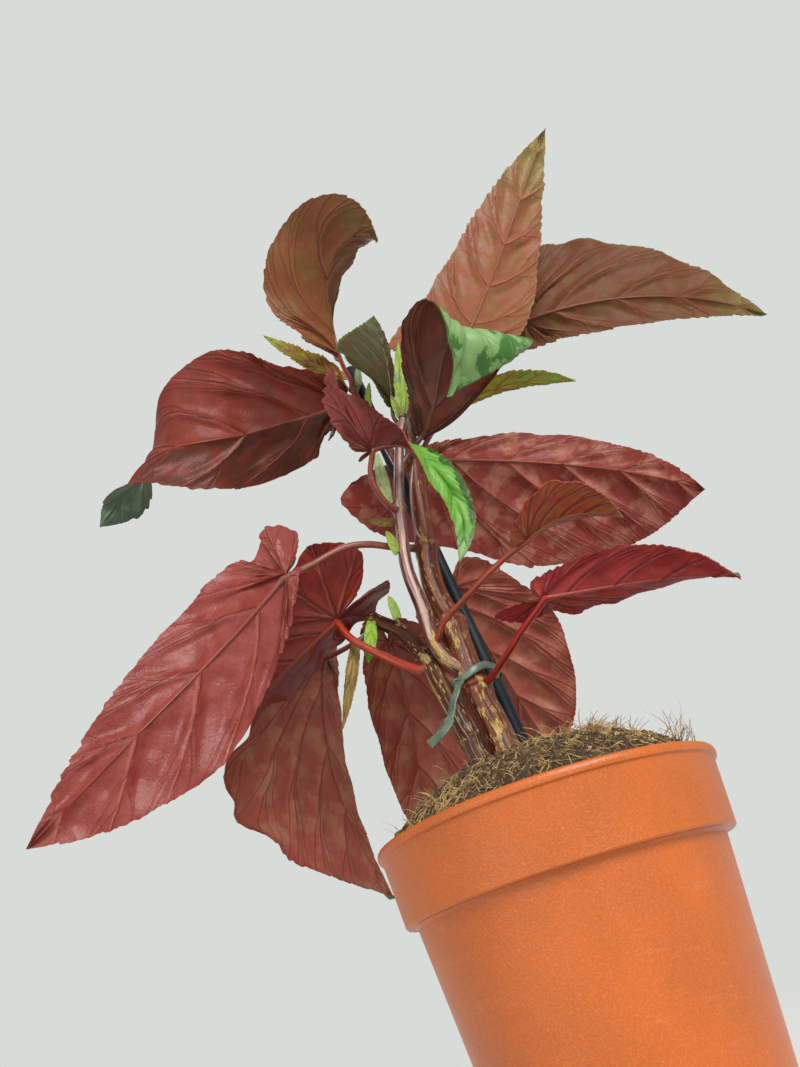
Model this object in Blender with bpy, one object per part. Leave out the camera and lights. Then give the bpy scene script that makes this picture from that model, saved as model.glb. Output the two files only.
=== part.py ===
"""A cane begonia in a nursery pot, tied to a stake. Sizes are in millimetres and degrees.

The frame stands at the middle of the pot's base, +Z up. The plant's front faces -Y.
"""
from dataclasses import dataclass
import math

import bmesh
import bpy
import numpy as np

MM = 0.001
GAP = 0.3

# Pot: a moulded nursery pot, 140 mm across its lip
POT_HEIGHT = 129.0
POT_BASE_RADIUS = 49.5
POT_NECK_RADIUS = 62.7
BAND_HEIGHT = 25.3
BAND_FOOT_RADIUS = 67.2
BAND_TOP_RADIUS = 70.0
LIP_RADIUS = 71.4
LIP_HEIGHT = 4.0
POT_WALL = 1.5
FOOT_BEVEL = 1.5
BAND_STEP = 1.0
EDGE_BEVEL = 0.8
POT_SIDES = 44
DRAIN_HOLES = 6
DRAIN_RADIUS = 4.5
DRAIN_RING_RADIUS = 32.0
DRAIN_SIDES = 12

# Soil: domed above the rim, with crumbs and clods as a wavy relief
SOIL_RISE = 25.0
SOIL_LEVEL = 126.0
SOIL_ROUGHNESS = 1.3
SOIL_WAVES = 9
SOIL_WAVE_RATE = 0.28
SOIL_PLAY = 0.2
SOIL_SIDES = 36
SOIL_RINGS = 8
SEED = 7

# Canes and stake: a route of points from the soil up, and the radius at its foot and its tip
CANE_SIDES = 9
CANE_TAPER = 1.3
NODE_REACH = 0.02
STAKE_RADIUS = 3.6
STAKE_POINT_RADIUS = 0.8
STAKE_POINT_LENGTH = 8.0
STAKE_TOP_BEVEL = 1.5
STAKE_SIDES = 12
STAKE_ROUTE = ((4, 4, 112), (-22, 7, 385))

# Tie: a flat strip round the main cane and the stake, whose tail ends in a wider piece
TIE_HEIGHT = 3.4
TIE_THICKNESS = 1.2
TIE_SLACK = 0.3
TIE_LEVEL = 184.5
TIE_TILT = 0.35
TIE_TAIL = ((-17, -21.5, 184), (-18, -28, 179), (-21, -30, 174), (-24, -31, 168), (-29, -32, 163),
            (-35, -32, 160))
TIE_END_FROM = 0.62
TIE_END_WIDER = 1.35
TIE_KNOT_RADIUS = 2.5
TIE_KNOT_SHAPE = (1.1, 0.8, 1.2)

# Leaf blades
BLADE = 0.8
KEEL = 0.9
ENTRY = 1.5
TOOTH = 0.013
RUFFLE = 0.05
RUFFLE_WAVES = 9
SINUS = 1.6
SINUS_SLOPE = 0.12


@dataclass
class Cane:
    """A stem: its route, the radius at its foot and tip, and the shares of its length that hold nodes."""
    route: tuple
    radius: tuple
    nodes: tuple
    colour: tuple
    swell: float = 0.22


@dataclass
class Leaf:
    """One leaf. Its midrib leaves the base on an aim (heading, pitch, roll), then droops, sweeps to its
    right and twists by the angles listed, one for each equal stretch. Pairs are for the left half and the
    right half, seen from above: the width, how far the lobe reaches back past the stalk, the lobe's width,
    the angle at which the half is folded up, how much it curls, where along the midrib it is widest, and
    how deep the notch is that parts the lobe from the rest."""
    base: tuple
    length: float
    aim: tuple
    width: tuple
    droop: tuple = (0,)
    sweep: tuple = (0,)
    twist: tuple = (0,)
    lobe: tuple = (3, 3)
    lobe_width: tuple = (5, 5)
    fold: tuple = (8, 8)
    curl: tuple = (0, 0)
    widest: tuple = (0.32, 0.32)
    notch: tuple = (0, 0)
    full: float = 0.6
    stalk: tuple = ()
    stalk_radius: float = 1.6
    cane: str = ""
    columns: int = 11
    fan: int = 5
    rows: tuple = (0.62,)
    sides: int = 6
    colour: tuple = (0.30, 0.07, 0.06)


CRIMSON = (0.30, 0.06, 0.06)
BROWN_RED = (0.22, 0.07, 0.05)
COPPER = (0.28, 0.13, 0.07)
OLIVE = (0.16, 0.15, 0.05)
LEAF_GREEN = (0.12, 0.36, 0.06)
YOUNG_GREEN = (0.36, 0.44, 0.06)
DRY = (0.38, 0.26, 0.12)
PLASTIC_ORANGE = (0.72, 0.17, 0.04)
EARTH = (0.09, 0.055, 0.03)
BLUE_BLACK = (0.012, 0.03, 0.035)
TIE_GREEN = (0.28, 0.34, 0.25)

CANES = {
    "cane_main": Cane(
        route=((-5, -14, 119), (-7, -14, 142), (-9, -13, 165), (-11.5, -12, 182), (-12.5, -11, 211),
               (-15, -10, 234), (-12.5, -9, 256), (-8.5, -8, 281), (-6, -7, 299), (-2, -7, 323),
               (0, -8, 342)),
        radius=(7.1, 2.6), nodes=(0.28, 0.42, 0.605, 0.82), colour=(0.22, 0.07, 0.04)),
    "cane_young": Cane(
        route=((-13, -13, 191), (-17, -16.5, 194), (-20.5, -19, 200), (-22, -20, 208), (-22, -21, 221),
               (-23, -22, 242), (-20, -21, 262), (-17, -20, 278), (-9, -18, 307), (-3, -14.5, 325)),
        radius=(3.3, 2.1), nodes=(0.22, 0.62, 0.97), colour=(0.42, 0.27, 0.25)),
    "cane_side": Cane(
        route=((-17.5, -22, 121), (-17.5, -22, 144), (-19.5, -22, 159), (-22.5, -21, 176), (-25, -16.5, 189),
               (-26.5, -13.5, 198), (-29.5, -10, 207), (-34.5, -6, 219), (-42, -1, 228), (-49, 4, 235.5)),
        radius=(4.4, 3.2), nodes=(0.3, 0.66, 0.97), swell=0.14, colour=(0.20, 0.08, 0.04)),
    "cane_top": Cane(
        route=((-12, -18.5, 296), (-15, -10, 316), (-20, -3, 344), (-24, -1, 366)),
        radius=(1.9, 1.7), nodes=(0.5, 0.97), colour=(0.36, 0.14, 0.10)),
}
SPUR = Cane(route=((-12, -12, 256), (-14, -14, 264), (-11, -14, 282), (-6, -13.5, 297)),
            radius=(1.3, 0.9), nodes=(), colour=(0.42, 0.2, 0.16))

LEAVES = {
    "leaf_low_left": Leaf(
        base=(-73.5, -39.5, 249.5), length=147, aim=(-189, -33, -83), droop=(33, -18), sweep=(3, -1),
        twist=(22, -3), width=(27.5, 33.5), lobe=(18.5, 7), lobe_width=(25.5, 5), fold=(6, 3), curl=(-1, 1),
        widest=(0.10, 0.49), full=0.8, notch=(0.26, 0), stalk_radius=1.7, cane="cane_main", columns=12,
        stalk=((-16, -9, 256), (-26, -14, 258), (-36.5, -25.5, 258), (-47.5, -32, 257), (-61.5, -36.5, 252))),
    "leaf_low_left_back": Leaf(
        base=(-62, -7.5, 236), length=72, aim=(171, -23, -10), droop=(20,), sweep=(-24,), twist=(-2,),
        width=(30, 38), lobe=(30, 29), lobe_width=(34, 34), fold=(32, 30), curl=(3, -15),
        widest=(0.18, 0.43), full=0.4, notch=(0.04, 0.10), stalk_radius=2.0, cane="cane_side", fan=8,
        columns=8, stalk=((-26.5, -14.5, 197), (-33, -13.5, 198), (-46, -11, 210), (-57.5, -10.5, 222.5))),
    "leaf_hang_left": Leaf(
        base=(-83.5, 49, 244.5), length=138, aim=(125, -36, 31), droop=(72,), sweep=(-24,), twist=(9,),
        width=(81.5, 18.5), lobe=(15.5, 8), lobe_width=(26.5, 11), fold=(3, 2), curl=(-5, 3),
        widest=(0.37, 0.25),
        cane="cane_side", columns=13, colour=BROWN_RED,
        stalk=((-46, 2, 232.5), (-52.5, 17, 234.5), (-67.5, 37, 239.5))),
    "leaf_hang_mid": Leaf(
        base=(-47, 35, 235), length=112, aim=(93, -38, -26), droop=(51,), sweep=(8,), twist=(6,),
        width=(26, 36), lobe=(12, 12), lobe_width=(15, 18), fold=(10, 9), curl=(5, 1), full=1.1,
        cane="cane_side", colour=BROWN_RED, stalk=((-32, -8, 213), (-36, 5, 225), (-40, 20, 234))),
    "leaf_hang_right": Leaf(
        base=(-6, 35, 251), length=106, aim=(77, -50, -8), droop=(17,), sweep=(13,), twist=(-6,),
        width=(27, 39), lobe=(14, 12), lobe_width=(16, 20), fold=(11, 10), full=1.2, cane="cane_main",
        colour=BROWN_RED, stalk=((-14, -10, 226), (-14, 6, 236), (-9, 22, 247))),
    "leaf_mid_right": Leaf(
        base=(1, 30, 326), length=159, aim=(33, 0, 78), droop=(65,), sweep=(-34,), twist=(-23,),
        width=(60, 21), lobe=(52, 8), lobe_width=(41, 10), fold=(17, 17), curl=(-2, 3),
        widest=(0.42, 0.37), full=1.0, cane="cane_main", columns=12, fan=7,
        rows=(0.45, 0.78), stalk=((-9, -8, 281), (-5, 8, 295), (-1, 20, 311))),
    "leaf_near_right_small": Leaf(
        base=(29, -50, 222), length=42, aim=(-16, 25, -3), droop=(71,), sweep=(-17,), twist=(18,),
        width=(9, 20), lobe=(3, 6), lobe_width=(5, 10), fold=(14, 12), curl=(4, 6), widest=(0.33, 0.39),
        full=0.5, stalk_radius=1.4, cane="cane_young", columns=9, fan=4, rows=(0.6,),
        stalk=((-21, -19.5, 204), (-18.5, -24, 205.5), (-14.5, -28, 209), (-5, -34, 212), (5, -41, 215),
               (18, -47, 219))),
    "leaf_near_right": Leaf(
        base=(26, -48, 197), length=76, aim=(3, -8, 39), droop=(5, 28), sweep=(2, 15), twist=(-17, -25),
        width=(16, 17), lobe=(20, 4), lobe_width=(14, 8), fold=(31, 16), curl=(-16, -3),
        widest=(0.18, 0.41), full=1.6, notch=(0.20, 0), cane="cane_main",
        stalk=((-11, -12, 183), (-4, -18, 182), (6, -29, 186), (16, -39, 191))),
    "leaf_top_tall": Leaf(
        base=(42, 6.5, 375), length=195, aim=(41, 52, 115), droop=(36,), sweep=(7,), twist=(-32,),
        width=(30, 32), lobe=(12, 16), lobe_width=(23, 45), fold=(10, 10), widest=(0.31, 0.29),
        cane="cane_main", columns=13, colour=COPPER,
        stalk=((-3, -7, 317), (8, 2, 334), (25, 4, 355))),
    "leaf_top_right": Leaf(
        base=(89, 66, 423), length=157, aim=(-7, -5, 77), droop=(-32,), sweep=(-24,), twist=(21,),
        width=(20, 50), lobe=(8, 15), lobe_width=(19, 26), fold=(9, 2), curl=(0, -3),
        widest=(0.34, 0.18), full=0.8, cane="cane_main", columns=12, colour=COPPER,
        stalk=((-6, -7, 299), (8, 14, 330), (38, 38, 372), (66, 54, 402))),
    "leaf_small_right": Leaf(
        base=(8, 3, 326), length=83, aim=(-8, 27, -8), droop=(65,), sweep=(-6,), twist=(25,),
        width=(8, 10), fold=(12, 11), curl=(4, 2), full=1.0, stalk_radius=1.1, cane="cane_main",
        columns=10, fan=3, rows=(0.6,), sides=5, colour=YOUNG_GREEN, stalk=((-4, -7, 313), (3, -2, 320))),
    "leaf_top_left": Leaf(
        base=(-26, 7, 397), length=94, aim=(-102, 94, -141), droop=(-14, 41, 93), sweep=(46, 18, 3),
        twist=(23, 31, 18), width=(23, 36), lobe=(5, 3), lobe_width=(2, 27), fold=(-12, 60), curl=(-14, 27),
        widest=(0.42, 0.43), full=1.3, notch=(0, 0.16), stalk_radius=1.4, cane="cane_top", columns=13,
        colour=OLIVE, rows=(0.45, 0.78), stalk=((-23.5, -1.5, 364), (-22.8, -1.5, 371), (-24.5, 1, 383))),
    "leaf_left_big": Leaf(
        base=(-31, 0, 360), length=160, aim=(-144, -38, -46), droop=(-87, 83, -28, -45, -18),
        sweep=(-11, 27, -28, -12, 10), twist=(-26, -18, -25, -53, -85), width=(47, 29), lobe=(6, 4),
        lobe_width=(10, 33), fold=(-19, 33), curl=(-12, 9), widest=(0.38, 0.25), full=1.2, notch=(0, 0.49),
        cane="cane_top", columns=11, fan=7, rows=(0.45, 0.78),
        stalk=((-20, -3, 343), (-25, -2, 349), (-29, -1, 355))),
    "leaf_bud_left": Leaf(
        base=(-28, 14, 386), length=70, aim=(177, 53, -113), droop=(-4,), sweep=(-8,), width=(10, 6),
        lobe=(2, 2), lobe_width=(3, 3), fold=(3, 5), curl=(-5, -2), stalk_radius=1.0, cane="cane_top",
        columns=9, fan=3, rows=(0.6,), sides=5, colour=YOUNG_GREEN,
        stalk=((-24, -0.8, 363), (-26.5, 6, 372), (-28, 11, 381))),
    "leaf_bud_centre": Leaf(
        base=(-6, -12, 339), length=54, aim=(-29, 74, -16), droop=(-12,), sweep=(8,), twist=(62,),
        width=(6, 34), lobe=(2, 4), lobe_width=(4, 8), fold=(4, 1), curl=(-2, -2), full=0.8,
        stalk_radius=1.1, cane="cane_young", columns=9, fan=4, rows=(0.6,), sides=5, colour=OLIVE,
        stalk=((-4, -15, 321), (-7, -13, 329))),
    "leaf_arch_green": Leaf(
        base=(3, -12, 313), length=99, aim=(-49, 10, 17), droop=(-37, 25, 154, 15), sweep=(12, -1, 24, 12),
        twist=(13, -33, 7, 25), width=(41, 24), lobe=(0.6, 0.8), lobe_width=(3, 6), fold=(-4, 35),
        curl=(5, -5), widest=(0.58, 0.53), full=-0.3, notch=(0.40, 0.03), stalk_radius=1.5,
        cane="cane_young", columns=13, fan=3, colour=LEAF_GREEN, rows=(0.45, 0.78),
        stalk=((-12, -18.5, 296), (-6, -17.5, 302), (-1, -14.5, 308))),
    "leaf_centre_twist": Leaf(
        base=(-22, -42, 295), length=86, aim=(37, 30, 31), droop=(98, 23, 9, 28), sweep=(28, -15, 21, 26),
        twist=(-28, -54, 8, -23), width=(9, 9), lobe=(4, 18), lobe_width=(8, 43), fold=(43, 5),
        curl=(-12, 10), widest=(0.27, 0.31), full=1.6, notch=(0, 0.31), stalk_radius=1.5, cane="cane_young",
        columns=12, fan=7, colour=LEAF_GREEN,
        stalk=((-19, -21, 273), (-21, -27, 271), (-24, -33, 276), (-25, -38, 285))),
}


@dataclass
class Bract(Leaf):
    """A small scale or stipule: a narrow blade that sits on its cane by a short foot."""
    width: tuple = (3, 3)
    lobe: tuple = (1, 1)
    lobe_width: tuple = (2, 2)
    widest: tuple = (0.35, 0.35)
    full: float = 1.0
    stalk_radius: float = 0.9
    columns: int = 4
    fan: int = 1
    rows: tuple = (0.6,)
    sides: int = 4
    colour: tuple = YOUNG_GREEN


BRACTS = {
    "bract_shoot": Bract(base=(-17, -6, 346), length=15, aim=(-60, 78, -100), width=(3.5, 3), droop=(20,),
                         cane="cane_top", stalk=((-19.5, -3.5, 342),)),
    "bract_stake_end": Bract(base=(-19.5, 1, 368), length=12, aim=(-20, 78, -96), cane="cane_top",
                             stalk=((-22.5, -2, 360),), width=(2.2, 2.2)),
    "bract_young": Bract(base=(-22, -21.5, 278), length=31, aim=(-60, 84, -160), width=(3.2, 3),
                         cane="cane_young", stalk=((-17, -19.8, 277),), columns=6, colour=LEAF_GREEN),
    "bract_node": Bract(base=(-23.5, -21.5, 267.5), length=11, aim=(-162, 8, 150), width=(2.4, 2.4),
                        droop=(30,), cane="cane_young", stalk=((-19, -20.5, 267),), colour=OLIVE),
    "bract_bud": Bract(base=(-25, -22.5, 251), length=13, aim=(120, 78, 60), width=(2.6, 2.6),
                       cane="cane_young", stalk=((-21, -21.2, 250),), droop=(-15,)),
    "bract_spur": Bract(base=(-1.5, -14, 184), length=10, aim=(-25, 42, -119), width=(1.6, 1.6),
                        cane="cane_main", stalk=((-9, -12, 181),), colour=DRY),
    "bract_side_high": Bract(
        base=(-35, -10, 226), length=11, aim=(-109, 78, 157), width=(2, 2.4), cane="cane_side",
        stalk=((-35, -5.5, 219.5),)),
    "bract_side_green": Bract(
        base=(-48, -4, 230), length=21, aim=(-150, -72, 76), width=(3.4, 3), cane="cane_side",
        colour=LEAF_GREEN, stalk=((-45, 0.5, 231.5),)),
    "bract_withered": Bract(
        base=(-57, -5, 223), length=42, aim=(-157, -68, 86), width=(3.4, 3), twist=(50,), cane="cane_side",
        columns=6, colour=DRY, stalk=((-42, -1, 228.5), (-49, -1, 228))),
}
TIP_CORE = ((-2.9, -14.4, 326.5), (-1, -14.5, 334), (1.5, -15, 342))
TIP_CORE_RADIUS = (1.7, 0.7)
TIP_BLADES = (
    Bract(base=(-2.5, -15, 329), length=42, aim=(-8, 76, -110), droop=(-6,), width=(4.2, 3.6), fold=(38, 30)),
    Bract(base=(-3.6, -14.5, 328), length=12, aim=(-110, 74, -171), width=(2, 2), fold=(15, 15)),
    Bract(base=(-1.6, -14.6, 329), length=19, aim=(21, 66, -91), width=(2.4, 2.4), fold=(20, 20)),
)


def clear_scene():
    for obj in list(bpy.data.objects):
        bpy.data.objects.remove(obj, do_unlink=True)


def material(name, colour, roughness=0.5):
    made = bpy.data.materials.new(name)
    made.use_nodes = True
    shader = made.node_tree.nodes["Principled BSDF"]
    shader.inputs["Base Color"].default_value = (*colour, 1.0)
    shader.inputs["Roughness"].default_value = roughness
    shader.inputs["Metallic"].default_value = 0.0
    return made


def solid(name, points, faces, finish=None):
    """A mesh object from points in millimetres. Points in one place are joined and flat faces dropped."""
    mesh = bpy.data.meshes.new(name)
    mesh.from_pydata([tuple(float(c) * MM for c in p) for p in points], [], [list(f) for f in faces])
    work = bmesh.new()
    work.from_mesh(mesh)
    bmesh.ops.remove_doubles(work, verts=work.verts, dist=1e-6)
    bmesh.ops.dissolve_degenerate(work, edges=work.edges, dist=1e-6)
    bmesh.ops.recalc_face_normals(work, faces=work.faces)
    if work.calc_volume(signed=True) < 0:
        bmesh.ops.reverse_faces(work, faces=work.faces)
    work.to_mesh(mesh)
    work.free()
    mesh.shade_smooth()
    mesh.set_sharp_from_angle(angle=math.radians(35))
    obj = bpy.data.objects.new(name, mesh)
    bpy.context.scene.collection.objects.link(obj)
    if finish:
        mesh.materials.append(finish)
    return obj


def combine(obj, other, operation, keep=False):
    """Joins the other solid to this one, or cuts it away, for good."""
    step = obj.modifiers.new(operation.title(), "BOOLEAN")
    step.operation = operation
    step.object = other
    bpy.context.view_layer.update()
    graph = bpy.context.evaluated_depsgraph_get()
    old = obj.data
    made = bpy.data.meshes.new_from_object(obj.evaluated_get(graph))
    obj.modifiers.clear()
    obj.data = made
    made.name = obj.name
    bpy.data.meshes.remove(old)
    if not keep:
        bpy.data.objects.remove(other, do_unlink=True)


def smooth_route(points, per_span=4):
    """A Catmull-Rom curve through the points."""
    p = np.asarray(points, float)
    if len(p) < 3:
        return np.linspace(p[0], p[-1], per_span + 1)
    ends = np.vstack([2 * p[0] - p[1], p, 2 * p[-1] - p[-2]])
    curve = []
    for a, b, c, d in zip(ends, ends[1:], ends[2:], ends[3:]):
        for t in np.linspace(0, 1, per_span, endpoint=False):
            curve.append(0.5 * (2 * b + (c - a) * t + (2 * a - 5 * b + 4 * c - d) * t ** 2
                                + (3 * b - a - 3 * c + d) * t ** 3))
    curve.append(p[-1])
    return np.array(curve)


def reach(route):
    """How far along the route each of its points lies, as a share of its length."""
    steps = np.linalg.norm(np.diff(route, axis=0), axis=1)
    far = np.concatenate([[0], np.cumsum(steps)])
    return far / far[-1]


def tube(route, radii, sides):
    """Points and faces of a closed tube, whose rings turn as little as they can along the route."""
    route = np.asarray(route, float)
    ahead = np.gradient(route, axis=0)
    ahead /= np.linalg.norm(ahead, axis=1)[:, None]
    across = np.cross(ahead[0], (0.3, 0.9, 0.2))
    points = []
    for centre, way, radius in zip(route, ahead, radii):
        across = across - way * (across @ way)
        across /= np.linalg.norm(across)
        other = np.cross(way, across)
        for turn in np.arange(sides) * 2 * math.pi / sides:
            points.append(centre + radius * (across * math.cos(turn) + other * math.sin(turn)))
    faces = []
    for ring in range(len(route) - 1):
        for side in range(sides):
            a = ring * sides + side
            b = ring * sides + (side + 1) % sides
            faces.append((a, b, b + sides, a + sides))
    last = (len(route) - 1) * sides
    faces.append(tuple(reversed(range(sides))))
    faces.append(tuple(range(last, last + sides)))
    return points, faces


def cane_shape(cane, extra=0.0):
    """The cane's tube: it tapers, and swells a little at each node. Extra is added all round."""
    route = smooth_route(cane.route, per_span=2)
    if extra:
        for end, inner in ((0, 1), (-1, -2)):
            way = route[end] - route[inner]
            route[end] += way / np.linalg.norm(way) * extra
    share = reach(route)
    radii = cane.radius[0] + (cane.radius[1] - cane.radius[0]) * share ** CANE_TAPER
    for node in cane.nodes:
        nearest = share[np.argmin(abs(share - node))]
        radii = radii * (1 + cane.swell * np.exp(-((share - nearest) / NODE_REACH) ** 2))
    return tube(route, radii + extra, CANE_SIDES)


def make_pot():
    """One moulded shell: the wall leans out, steps out to the band at the rim, and ends in a thin lip."""
    neck = POT_HEIGHT - LIP_HEIGHT - BAND_HEIGHT
    lip_foot = POT_HEIGHT - LIP_HEIGHT
    outer = [(0, 0), (POT_BASE_RADIUS - FOOT_BEVEL, 0), (POT_BASE_RADIUS, FOOT_BEVEL),
             (POT_NECK_RADIUS, neck - FOOT_BEVEL), (POT_NECK_RADIUS + BAND_STEP, neck),
             (BAND_FOOT_RADIUS - EDGE_BEVEL, neck), (BAND_FOOT_RADIUS, neck + EDGE_BEVEL),
             (BAND_TOP_RADIUS, lip_foot), (LIP_RADIUS, lip_foot + EDGE_BEVEL),
             (LIP_RADIUS, POT_HEIGHT - EDGE_BEVEL), (LIP_RADIUS - EDGE_BEVEL, POT_HEIGHT)]
    inner = [(BAND_TOP_RADIUS - POT_WALL, POT_HEIGHT), (BAND_TOP_RADIUS - POT_WALL - EDGE_BEVEL, lip_foot),
             (BAND_FOOT_RADIUS - POT_WALL, neck + POT_WALL + BAND_STEP),
             (POT_NECK_RADIUS - POT_WALL, neck - BAND_STEP), (POT_BASE_RADIUS - POT_WALL, POT_WALL),
             (0, POT_WALL)]
    profile = outer + inner
    turns = np.arange(POT_SIDES) * 2 * math.pi / POT_SIDES
    points = [(r * math.cos(t), r * math.sin(t), z) for r, z in profile for t in turns]
    faces = []
    for ring in range(len(profile) - 1):
        for side in range(POT_SIDES):
            a = ring * POT_SIDES + side
            b = ring * POT_SIDES + (side + 1) % POT_SIDES
            faces.append((a, b, b + POT_SIDES, a + POT_SIDES))
    pot = solid("pot", points, faces, material("pot_plastic", PLASTIC_ORANGE, 0.4))
    for hole in range(DRAIN_HOLES):
        turn = 2 * math.pi * (hole + 0.5) / DRAIN_HOLES
        x, y = DRAIN_RING_RADIUS * math.cos(turn), DRAIN_RING_RADIUS * math.sin(turn)
        drill = tube([(x, y, -POT_WALL), (x, y, 2 * POT_WALL)], [DRAIN_RADIUS] * 2, DRAIN_SIDES)
        combine(pot, solid("drill", *drill), "DIFFERENCE")
    return pot


def soil_height(x, y, waves):
    """The soil's top: a dome that falls to the wall, with clods as a sum of seeded waves."""
    r = np.hypot(x, y) / (BAND_TOP_RADIUS - POT_WALL)
    relief = sum(math.sin(a * x + b * y + c) for a, b, c in waves) / math.sqrt(len(waves))
    return SOIL_LEVEL + SOIL_RISE * (1 - min(r, 1) ** 3) + SOIL_ROUGHNESS * relief * (1.15 - r)


def make_soil(cutters):
    """One body from the pot's floor to the dome, with a plain hole for each stem and for the stake."""
    rng = np.random.default_rng(SEED)
    waves = [(*rng.normal(0, SOIL_WAVE_RATE, 2), rng.uniform(0, 2 * math.pi)) for _ in range(SOIL_WAVES)]
    neck = POT_HEIGHT - LIP_HEIGHT - BAND_HEIGHT
    clear = POT_WALL + GAP + 2 * SOIL_PLAY
    wall = [(POT_BASE_RADIUS - clear - SOIL_PLAY, POT_WALL + GAP + SOIL_PLAY),
            (POT_NECK_RADIUS - clear, neck - BAND_STEP),
            (BAND_FOOT_RADIUS - clear - SOIL_PLAY, neck + POT_WALL + 3 * BAND_STEP)]
    top_radius = BAND_TOP_RADIUS - clear - 2 * SOIL_PLAY
    turns = np.arange(SOIL_SIDES) * 2 * math.pi / SOIL_SIDES
    points = [(0, 0, wall[0][1])]
    for r, z in wall:
        points += [(r * math.cos(t), r * math.sin(t), z) for t in turns]
    for ring in range(SOIL_RINGS):
        r = top_radius * (1 - ring / SOIL_RINGS)
        for t in turns:
            x, y = r * math.cos(t), r * math.sin(t)
            points.append((x, y, soil_height(x, y, waves)))
    points.append((0, 0, soil_height(0, 0, waves)))
    rings = len(wall) + SOIL_RINGS
    faces = []
    for side in range(SOIL_SIDES):
        after = (side + 1) % SOIL_SIDES
        faces.append((0, 1 + after, 1 + side))
        for ring in range(rings - 1):
            a, b = 1 + ring * SOIL_SIDES + side, 1 + ring * SOIL_SIDES + after
            faces.append((a, b, b + SOIL_SIDES))
            faces.append((a, b + SOIL_SIDES, a + SOIL_SIDES))
        last = 1 + (rings - 1) * SOIL_SIDES
        faces.append((last + side, last + after, len(points) - 1))
    soil = solid("soil", points, faces, material("potting_soil", EARTH, 0.95))
    for cutter in cutters:
        combine(soil, cutter, "DIFFERENCE")
    return soil


def make_stake():
    """The stake, pointed at its foot and bevelled at its top, and the hole that it stands in."""
    foot, top = (np.array(end, float) for end in STAKE_ROUTE)
    way = (top - foot) / np.linalg.norm(top - foot)
    route = [foot, foot + way * STAKE_POINT_LENGTH, top - way * STAKE_TOP_BEVEL, top]
    radii = np.array([STAKE_POINT_RADIUS, STAKE_RADIUS, STAKE_RADIUS, STAKE_RADIUS - STAKE_TOP_BEVEL])
    solid("stake", *tube(route, radii, STAKE_SIDES), material("coated_stake", BLUE_BLACK, 0.35))
    return solid("stake_hole", *tube(route, radii + GAP, STAKE_SIDES))


def on_route(points, level):
    """Where a route passes a height."""
    route = smooth_route(points)
    return np.array([np.interp(level, route[:, 2], route[:, axis]) for axis in (0, 1)])


def make_tie():
    """A flat strip drawn round the cane and the stake, with a knot in front and a tail that hangs."""
    lift = GAP + TIE_THICKNESS / 2 + TIE_SLACK
    main = CANES["cane_main"]
    cane, stick = on_route(main.route, TIE_LEVEL), on_route(STAKE_ROUTE, TIE_LEVEL)
    share = main.nodes[0] ** CANE_TAPER
    cane_radius = (main.radius[0] * (1 - share) + main.radius[1] * share) * (1 + main.swell) + lift
    stick_radius = STAKE_RADIUS + lift
    across = stick - cane
    apart = np.linalg.norm(across)
    heading = math.atan2(across[1], across[0])
    lean = math.acos((cane_radius - stick_radius) / apart)
    loop = []
    for centre, radius, first, last, many in (
            (cane, cane_radius, heading + lean, heading + 2 * math.pi - lean, 14),
            (stick, stick_radius, heading - lean, heading + lean, 8)):
        for t in np.linspace(first, last, many):
            x, y = centre + radius * np.array([math.cos(t), math.sin(t)])
            loop.append((x, y, TIE_LEVEL + TIE_TILT * (x - TIE_TAIL[0][0])))
    finish = material("tie_plastic", TIE_GREEN, 0.4)
    tie = solid("tie", *strip(loop, closed=True), finish)
    knot = bmesh.new()
    bmesh.ops.create_uvsphere(knot, u_segments=10, v_segments=6, radius=TIE_KNOT_RADIUS)
    points = [np.array(v.co) * TIE_KNOT_SHAPE + TIE_TAIL[0] for v in knot.verts]
    faces = [[v.index for v in f.verts] for f in knot.faces]
    knot.free()
    combine(tie, solid("knot", points, faces), "UNION")
    combine(tie, solid("tail", *strip(smooth_route(TIE_TAIL, 3), closed=False)), "UNION")
    tie.data.materials.clear()
    tie.data.materials.append(finish)
    return tie


def strip(route, closed):
    """A flat band along the route, TIE_HEIGHT wide. A closed one stands on edge. An open one, whose flat
    side faces the front, has a wider end."""
    route = np.asarray(route, float)
    ahead = np.roll(route, -1, 0) - np.roll(route, 1, 0) if closed else np.gradient(route, axis=0)
    ahead /= np.linalg.norm(ahead, axis=1)[:, None]
    side_way = np.array((0.0, 0.0, 1.0)) if closed else np.array((0.95, -0.3, 0.0))
    widths = np.full(len(route), TIE_HEIGHT)
    if not closed:
        widths[reach(route) > TIE_END_FROM] *= TIE_END_WIDER
    points = []
    for centre, way, width in zip(route, ahead, widths):
        wide = side_way - way * (side_way @ way)
        wide *= width / 2 / np.linalg.norm(wide)
        thick = np.cross(way, wide)
        thick *= TIE_THICKNESS / 2 / np.linalg.norm(thick)
        points += [centre + wide + thick, centre - wide + thick, centre - wide - thick, centre + wide - thick]
    faces = []
    count = len(route)
    for i in range(count if closed else count - 1):
        for k in range(4):
            a, b = 4 * i + k, 4 * i + (k + 1) % 4
            c, d = 4 * ((i + 1) % count) + (k + 1) % 4, 4 * ((i + 1) % count) + k
            faces.append((a, b, c, d))
    if not closed:
        faces += [(0, 1, 2, 3), tuple(4 * (count - 1) + k for k in (3, 2, 1, 0))]
    return points, faces


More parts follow.
